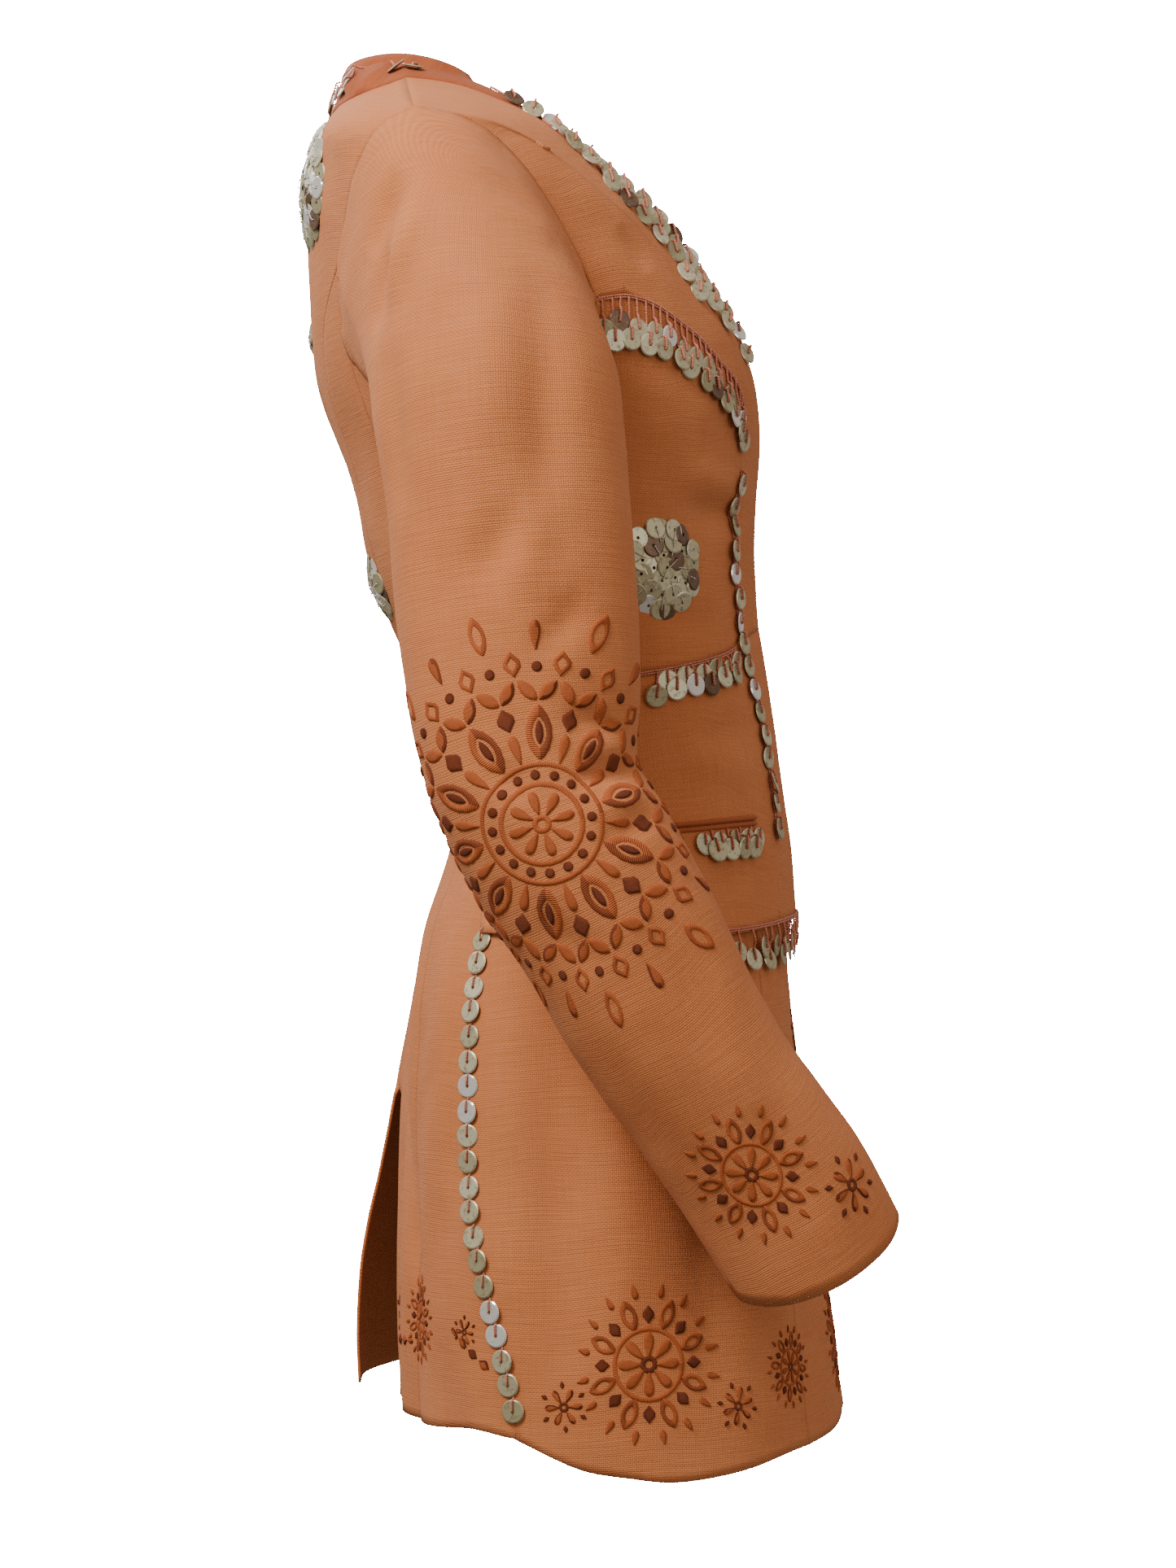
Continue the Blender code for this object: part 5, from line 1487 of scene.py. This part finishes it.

# %% [markdown]
# ## Embroidery
# The sleeves, cuffs and hem carry raised satin stitch in rust and dark brown thread. Every
# shape is padded: it swells from its edge to its middle, and its two halves can differ in
# tone. The threads lie side by side across the shape, so the stitch pattern follows the
# shape's own coordinates. Each thread is painted lighter on its crest and darker between
# threads, a painted shade in the grooves. A motif is a flat drawing round a middle point. It
# is wrapped round the arm on the sleeves and laid on the cloth elsewhere.

# %% Thread material
THREAD_PITCH = 0.0007
# Each pair is a thread colour in the painted shade of the grooves between threads, then on the threads'
# crests.
RUST_WITH_GROOVE_SHADE = ((0.29, 0.060, 0.016, 1), (0.50, 0.125, 0.034, 1))
BROWN_WITH_GROOVE_SHADE = ((0.075, 0.014, 0.006, 1), (0.160, 0.034, 0.012, 1))


def make_embroidery():
    material, tree, shader = new_material("embroidery")
    tone = add_node(tree, "ShaderNodeAttribute", {"attribute_name": "tone"}).outputs["Fac"]
    uv = add_node(tree, "ShaderNodeUVMap", {"uv_map": "Stitch"})
    apart = add_node(tree, "ShaderNodeSeparateXYZ", Vector=uv.outputs[0])
    across = maths(tree, "MULTIPLY", apart.outputs["X"], 2 * math.pi / THREAD_PITCH)
    threads = maths(tree, "SINE", across)
    # The thread wave also sets the colour: painted shade in the groove between threads, lighter on each
    # crest.
    rust_with_groove_shade = blend_colours(tree, spread(tree, threads, -1, 1), *RUST_WITH_GROOVE_SHADE)
    brown_with_groove_shade = blend_colours(tree, spread(tree, threads, -1, 1), *BROWN_WITH_GROOVE_SHADE)
    tree.links.new(blend_colours(tree, tone, brown_with_groove_shade, rust_with_groove_shade), shader.inputs["Base Color"])
    bump = add_node(tree, "ShaderNodeBump", Strength=0.6, Distance=0.0002, Height=threads)
    tree.links.new(bump.outputs[0], shader.inputs["Normal"])
    shader.inputs["Roughness"].default_value = 0.75
    shader.inputs["Specular IOR Level"].default_value = 0.18
    return material


EMBROIDERY = make_embroidery()
print("embroidery finish:", EMBROIDERY.name)

# %% [markdown]
# ## Shapes in thread
# Four outlines do for every motif: a leaf with two points, a drop with one, a rhombus and a
# round. Some are hollow, with a band of stitch round an open middle. A ring is a band of
# stitch between two circles.

# %% Shapes
OUTLINE_STEPS = 14
Shape = namedtuple("Shape", "points middle light dark hollow")


def turned(points, angle, shift):
    c = math.cos(angle)
    s = math.sin(angle)
    return [(x * c - y * s + shift[0], x * s + y * c + shift[1]) for x, y in points]


def shape_at(kind, length, width, distance, angle, light=1.0, dark=0.0, turn=0.0, hollow=0.0):
    """A shape whose long side points away from the motif's middle. Hollow is the open share of it."""
    points = []
    for k in range(OUTLINE_STEPS):
        t = 2 * math.pi * k / OUTLINE_STEPS
        x = 0.5 * length * math.cos(t)
        narrow = {
            "leaf": abs(math.sin(t)) ** 1.5,
            "drop": abs(math.sin(t)) * (0.62 + 0.38 * math.cos(t)),
            "rhombus": 1 - abs(math.cos(t)),
            "round": abs(math.sin(t)),
        }[kind]
        points.append((x, 0.5 * width * narrow * (1 if math.sin(t) >= 0 else -1)))
    middle = (distance * math.cos(angle), distance * math.sin(angle))
    return Shape(turned(points, angle + turn, middle), middle, light, dark, hollow)


def around(kind, count, length, width, distance, offset=0.0, **more):
    """The same shape a number of times round the motif's middle."""
    return [shape_at(kind, length, width, distance, 2 * math.pi * (k + offset) / count, **more)
            for k in range(count)]


# %% Motifs
Ring = namedtuple("Ring", "radius width tone")
Motif = namedtuple("Motif", "shapes rings")
SLEEVE_MOTIF = Motif(
    around("drop", 8, 0.0120, 0.0070, 0.0100, dark=0.8)
    + around("round", 16, 0.0048, 0.0048, 0.0232, 0.5, light=0.2, dark=0.1)
    + around("leaf", 10, 0.0270, 0.0130, 0.0430, light=0.95, dark=0.35, hollow=0.50)
    + around("leaf", 10, 0.0120, 0.0040, 0.0430, light=0.1)
    + around("drop", 10, 0.0150, 0.0072, 0.0365, 0.5, light=1.0, dark=0.9)
    + around("rhombus", 10, 0.0120, 0.0110, 0.0510, 0.5, light=0.2, dark=0.1)
    + around("leaf", 20, 0.0130, 0.0064, 0.0630, 0.25, light=1.0, dark=0.9, turn=0.7)
    + around("leaf", 20, 0.0130, 0.0064, 0.0630, 0.75, light=1.0, dark=0.2, turn=-0.7)
    + around("rhombus", 20, 0.0130, 0.0110, 0.0760, 0.5, light=1.0, dark=0.6, hollow=0.45)
    + around("round", 20, 0.0052, 0.0052, 0.0740, 0.0, light=0.15)
    + around("drop", 10, 0.0150, 0.0085, 0.0890, 0.0, light=0.9, dark=0.2)
    + around("leaf", 10, 0.0200, 0.0090, 0.0930, 0.5, light=1.0, dark=0.7, hollow=0.48),
    [Ring(0.0032, 0.0030, 1.0), Ring(0.0187, 0.0030, 1.0), Ring(0.0280, 0.0026, 0.9)])
STAR_MOTIF = Motif(
    around("drop", 8, 0.0125, 0.0072, 0.0092, dark=0.8)
    + around("leaf", 8, 0.0160, 0.0080, 0.0250, 0.5, light=0.95, dark=0.5, hollow=0.42)
    + around("rhombus", 8, 0.0090, 0.0075, 0.0235, light=0.15)
    + around("drop", 16, 0.0075, 0.0046, 0.0350, 0.5, turn=math.pi, dark=0.7),
    [Ring(0.0030, 0.0028, 0.1), Ring(0.0168, 0.0026, 1.0)])
FLOWER_MOTIF = Motif(
    around("drop", 6, 0.0095, 0.0056, 0.0074)
    + around("rhombus", 6, 0.0048, 0.0034, 0.0135, 0.5, light=0.15),
    [Ring(0.0022, 0.0022, 0.1)])
SPRIG_MOTIF = Motif(
    [shape_at("rhombus", 0.0085, 0.0070, 0.0045 + 0.0100 * k, 0.0, light=(1.0, 0.15, 1.0)[k])
     for k in range(3)]
    + [shape_at("drop", 0.0080, 0.0046, 0.0335, 0.0)],
    [])
print("shapes in the sleeve's motif:", len(SLEEVE_MOTIF.shapes), "rings:", len(SLEEVE_MOTIF.rings))

# %% [markdown]
# ## Stitching
# A shape is built as rings of points, one inside the other, each with its height over the
# cloth. A filled shape is closed over its middle, and a hollow one comes down again to the
# cloth. All the stitching on one panel is one mesh.

# %% Stitch a panel
FILLED = [(1.0, -0.0002), (0.92, 0.0005), (0.55, 0.0008)]
RING_BAND = [(-0.5, -0.0002), (-0.3, 0.0005), (0.3, 0.0005), (0.5, -0.0002)]
SHAPE_SPAN = 0.010
RING_STEP = 0.0007
RING_LEAST = 24


def hollow_band(inner):
    """The rings of a hollow shape: a share of its outline and a height for each."""
    outer_top = 0.85 + 0.15 * inner
    inner_top = 0.25 + 0.75 * inner
    return [(1.0, -0.0002), (outer_top, 0.0006), (inner_top, 0.0006), (inner, -0.0002)]


class Embroidery:
    """All the stitching on one panel, gathered into one mesh."""

    def __init__(self, name):
        self.name = name
        self.points = []
        self.faces = []
        self.tones = []
        self.stitch = []

    def patch(self, lay, rings_of_points, stitches, tones, closed_middle):
        """Joins rings of points into faces. A ring is a list of (x, y, lift)."""
        start = len(self.points)
        count = len(rings_of_points[0])
        for one in rings_of_points:
            self.points.extend(lay(x, y, lift) for x, y, lift in one)
        for level in range(len(rings_of_points) - 1):
            for k in range(count):
                following = (k + 1) % count
                a = start + level * count
                self.faces.append([a + k, a + following, a + count + following, a + count + k])
                self.tones.append(tones[k])
                self.stitch.extend([stitches[level][k], stitches[level][following],
                                    stitches[level + 1][following], stitches[level + 1][k]])
        if closed_middle:
            a = start + (len(rings_of_points) - 1) * count
            for k in range(count // 2):
                across = [k, (k + 1) % count, (count - k - 1) % count, (count - k) % count]
                corners = list(dict.fromkeys(across))
                if len(corners) < 3:
                    continue
                self.faces.append([a + corner for corner in corners])
                self.tones.append(tones[k])
                self.stitch.extend(stitches[-1][corner] for corner in corners)

    def shape(self, lay, shape):
        rings = []
        stitches = []
        for share, lift in hollow_band(shape.hollow) if shape.hollow else FILLED:
            ring = []
            for x, y in shape.points:
                ring.append((shape.middle[0] + (x - shape.middle[0]) * share,
                             shape.middle[1] + (y - shape.middle[1]) * share, lift))
            rings.append(ring)
            stitches.append([(SHAPE_SPAN * share * math.cos(2 * math.pi * k / OUTLINE_STEPS), 0.0)
                             for k in range(OUTLINE_STEPS)])
        tones = [shape.light if k < OUTLINE_STEPS // 2 else shape.dark for k in range(OUTLINE_STEPS)]
        self.patch(lay, rings, stitches, tones, not shape.hollow)

    def ring(self, lay, ring):
        steps = max(RING_LEAST, int(ring.radius / RING_STEP))
        rings = []
        stitches = []
        for share, lift in RING_BAND:
            radius = ring.radius + ring.width * share
            turns = [2 * math.pi * k / steps for k in range(steps)]
            rings.append([(radius * math.cos(turn), radius * math.sin(turn), lift) for turn in turns])
            stitches.append([(turn * ring.radius, 0.0) for turn in turns])
        self.patch(lay, rings, stitches, [ring.tone] * steps, False)

    def motif(self, lay, motif, size, turn):
        c = math.cos(turn) * size
        s = math.sin(turn) * size

        def placed(x, y, lift):
            return lay(x * c - y * s, x * s + y * c, lift)

        for shape in motif.shapes:
            self.shape(placed, shape)
        for ring in motif.rings:
            self.ring(placed, ring)

    def finish(self):
        mesh = bpy.data.meshes.new(self.name)
        mesh.from_pydata(self.points, [], self.faces)
        mesh.attributes.new("tone", "FLOAT", "FACE").data.foreach_set("value", self.tones)
        layer = mesh.uv_layers.new(name="Stitch")
        layer.data.foreach_set("uv", np.array(self.stitch, dtype=float).ravel())
        form = bmesh.new()
        form.from_mesh(mesh)
        bmesh.ops.recalc_face_normals(form, faces=form.faces)
        form.to_mesh(mesh)
        form.free()
        mesh.shade_smooth()
        piece = new_piece(self.name, mesh, EMBROIDERY)
        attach(piece, "root")
        return piece


# %% [markdown]
# ## Where the embroidery lies
# On a sleeve, sideways in the drawing becomes a turn round the arm, and up becomes a distance
# along it. On the body, the drawing is laid on the plane that touches the cloth at its middle
# and then pressed on to the cloth.

# %% Lay a drawing on the cloth
ARM_CLEAR = 0.15


def lay_round_arm(hit, side):
    """Lays a drawing round the sleeve, about a place on it."""
    arm = [Vector((point.x * side, point.y, point.z)) for point in ARM_LINE]
    start, end = min(zip(arm, arm[1:]), key=lambda ends: abs((ends[0].z + ends[1].z) / 2 - hit.z))
    axis = (end - start).normalized()
    foot = start + axis * (hit - start).dot(axis)
    outward = (hit - foot).normalized()
    forward = axis.cross(outward)

    def lay(x, y, lift):
        turn = side * x / SLEEVE_RADIUS
        out = outward * math.cos(turn) + forward * math.sin(turn)
        place, normal, _, _ = ARMS[side].tree.ray_cast(foot - axis * y + out * ARM_CLEAR, -out)
        return place + normal * lift

    return lay


def lay_on(ground, hit):
    """Lays a drawing on the cloth about a place on it."""
    middle, facing = ground.near(hit)
    right, up = cloth_axes(facing)

    def lay(x, y, lift):
        place, normal = ground.near(middle - right * x + up * y)
        return place + normal * lift

    return lay


# %% Sew the embroidery
Sewn = namedtuple("Sewn", "motif look across z size turn")
SLEEVE_SEWN = [
    Sewn(SLEEVE_MOTIF, "side", -0.0725, -0.3986, 1.0, 0.0),
    Sewn(STAR_MOTIF, "side", -0.172, -0.566, 0.95, 0.2),
    Sewn(FLOWER_MOTIF, "side", -0.222, -0.572, 1.1, 0.0),
]
HEM_SEWN = [
    Sewn(STAR_MOTIF, "side", -0.125, -0.666, 1.05, 0.0),
    Sewn(FLOWER_MOTIF, "side", -0.170, -0.690, 0.80, 0.3),
    Sewn(FLOWER_MOTIF, "side", -0.082, -0.688, 0.80, 0.1),
    Sewn(SPRIG_MOTIF, "side", -0.045, -0.672, 0.9, 2.6),
    Sewn(FLOWER_MOTIF, "side", -0.032, -0.655, 0.55, 0.0),
    Sewn(STAR_MOTIF, "side", -0.198, -0.676, 0.55, 0.2),
    Sewn(FLOWER_MOTIF, "front", 0.045, -0.515, 1.0, 0.0),
    Sewn(STAR_MOTIF, "front", 0.060, -0.672, 0.80, 0.0),
    Sewn(SPRIG_MOTIF, "front", 0.045, -0.535, 1.0, -1.6),
    Sewn(FLOWER_MOTIF, "back", 0.060, -0.662, 1.0, 0.2),
    Sewn(SPRIG_MOTIF, "back", 0.075, -0.672, 1.0, 0.1),
    Sewn(STAR_MOTIF, "back", 0.120, -0.655, 0.60, 0.0),
]
sewn = {}
for side, side_name in SIDES.items():
    work = Embroidery("embroidery_sleeve_" + side_name)
    for one in SLEEVE_SEWN:
        hit = ARMS[side].seen(one.look, one.across, one.z, side)
        work.motif(lay_round_arm(hit, side), one.motif, one.size, one.turn)
    sewn["sleeve_" + side_name] = work.finish()
    work = Embroidery("embroidery_hem_" + side_name)
    for one in HEM_SEWN:
        hit = BODY.seen(one.look, one.across, one.z, side)
        if hit:
            work.motif(lay_on(BODY, hit), one.motif, one.size, one.turn)
    sewn["skirt_side_" + side_name] = work.finish()
print("stitched faces:", sum(len(piece.data.polygons) for piece in sewn.values()))

# %% [markdown]
# ## Finish the cloth
# Last, each sheet gets its thickness and its finish.

CLOTH_THICKNESS = 0.0017
SEWN_ON = {
    "bodice": ["bust_fringe", "rosette_bodice", "front_discs"],
    "tier": ["waist_fringe", "pocket_welt", "tier_fringe"],
    "skirt_side": ["side_discs"],
    "side_back": ["rosette_back_waist"],
    "back": ["rosette_shoulder"],
}


def finish_cloth(piece, node, material):
    mesh = piece.data
    mesh.materials.clear()
    mesh.materials.append(material)
    mesh.shade_smooth()
    wall = piece.modifiers.new("thickness", "SOLIDIFY")
    wall.thickness = CLOTH_THICKNESS
    wall.offset = -1.0
    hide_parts(node)
    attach(piece, "root")


for node, piece in sheets.items():
    kind = "collar_cloth" if node == "collar" else "woven_cloth"
    panel, _, side_name = node.rpartition("_")
    on_it = [one for name in SEWN_ON.get(panel, []) for one in trims[f"{name}_{side_name}"]]
    if node in sewn:
        on_it.append(sewn[node])
    if node == "collar":
        on_it = trims["collar_discs"]
    if node == "back_right":
        on_it = on_it + trims["rosette_mid_back"]
    finish_cloth(piece, node, CLOTH_MATERIALS[kind])
print("cloth pieces:", len(sheets))
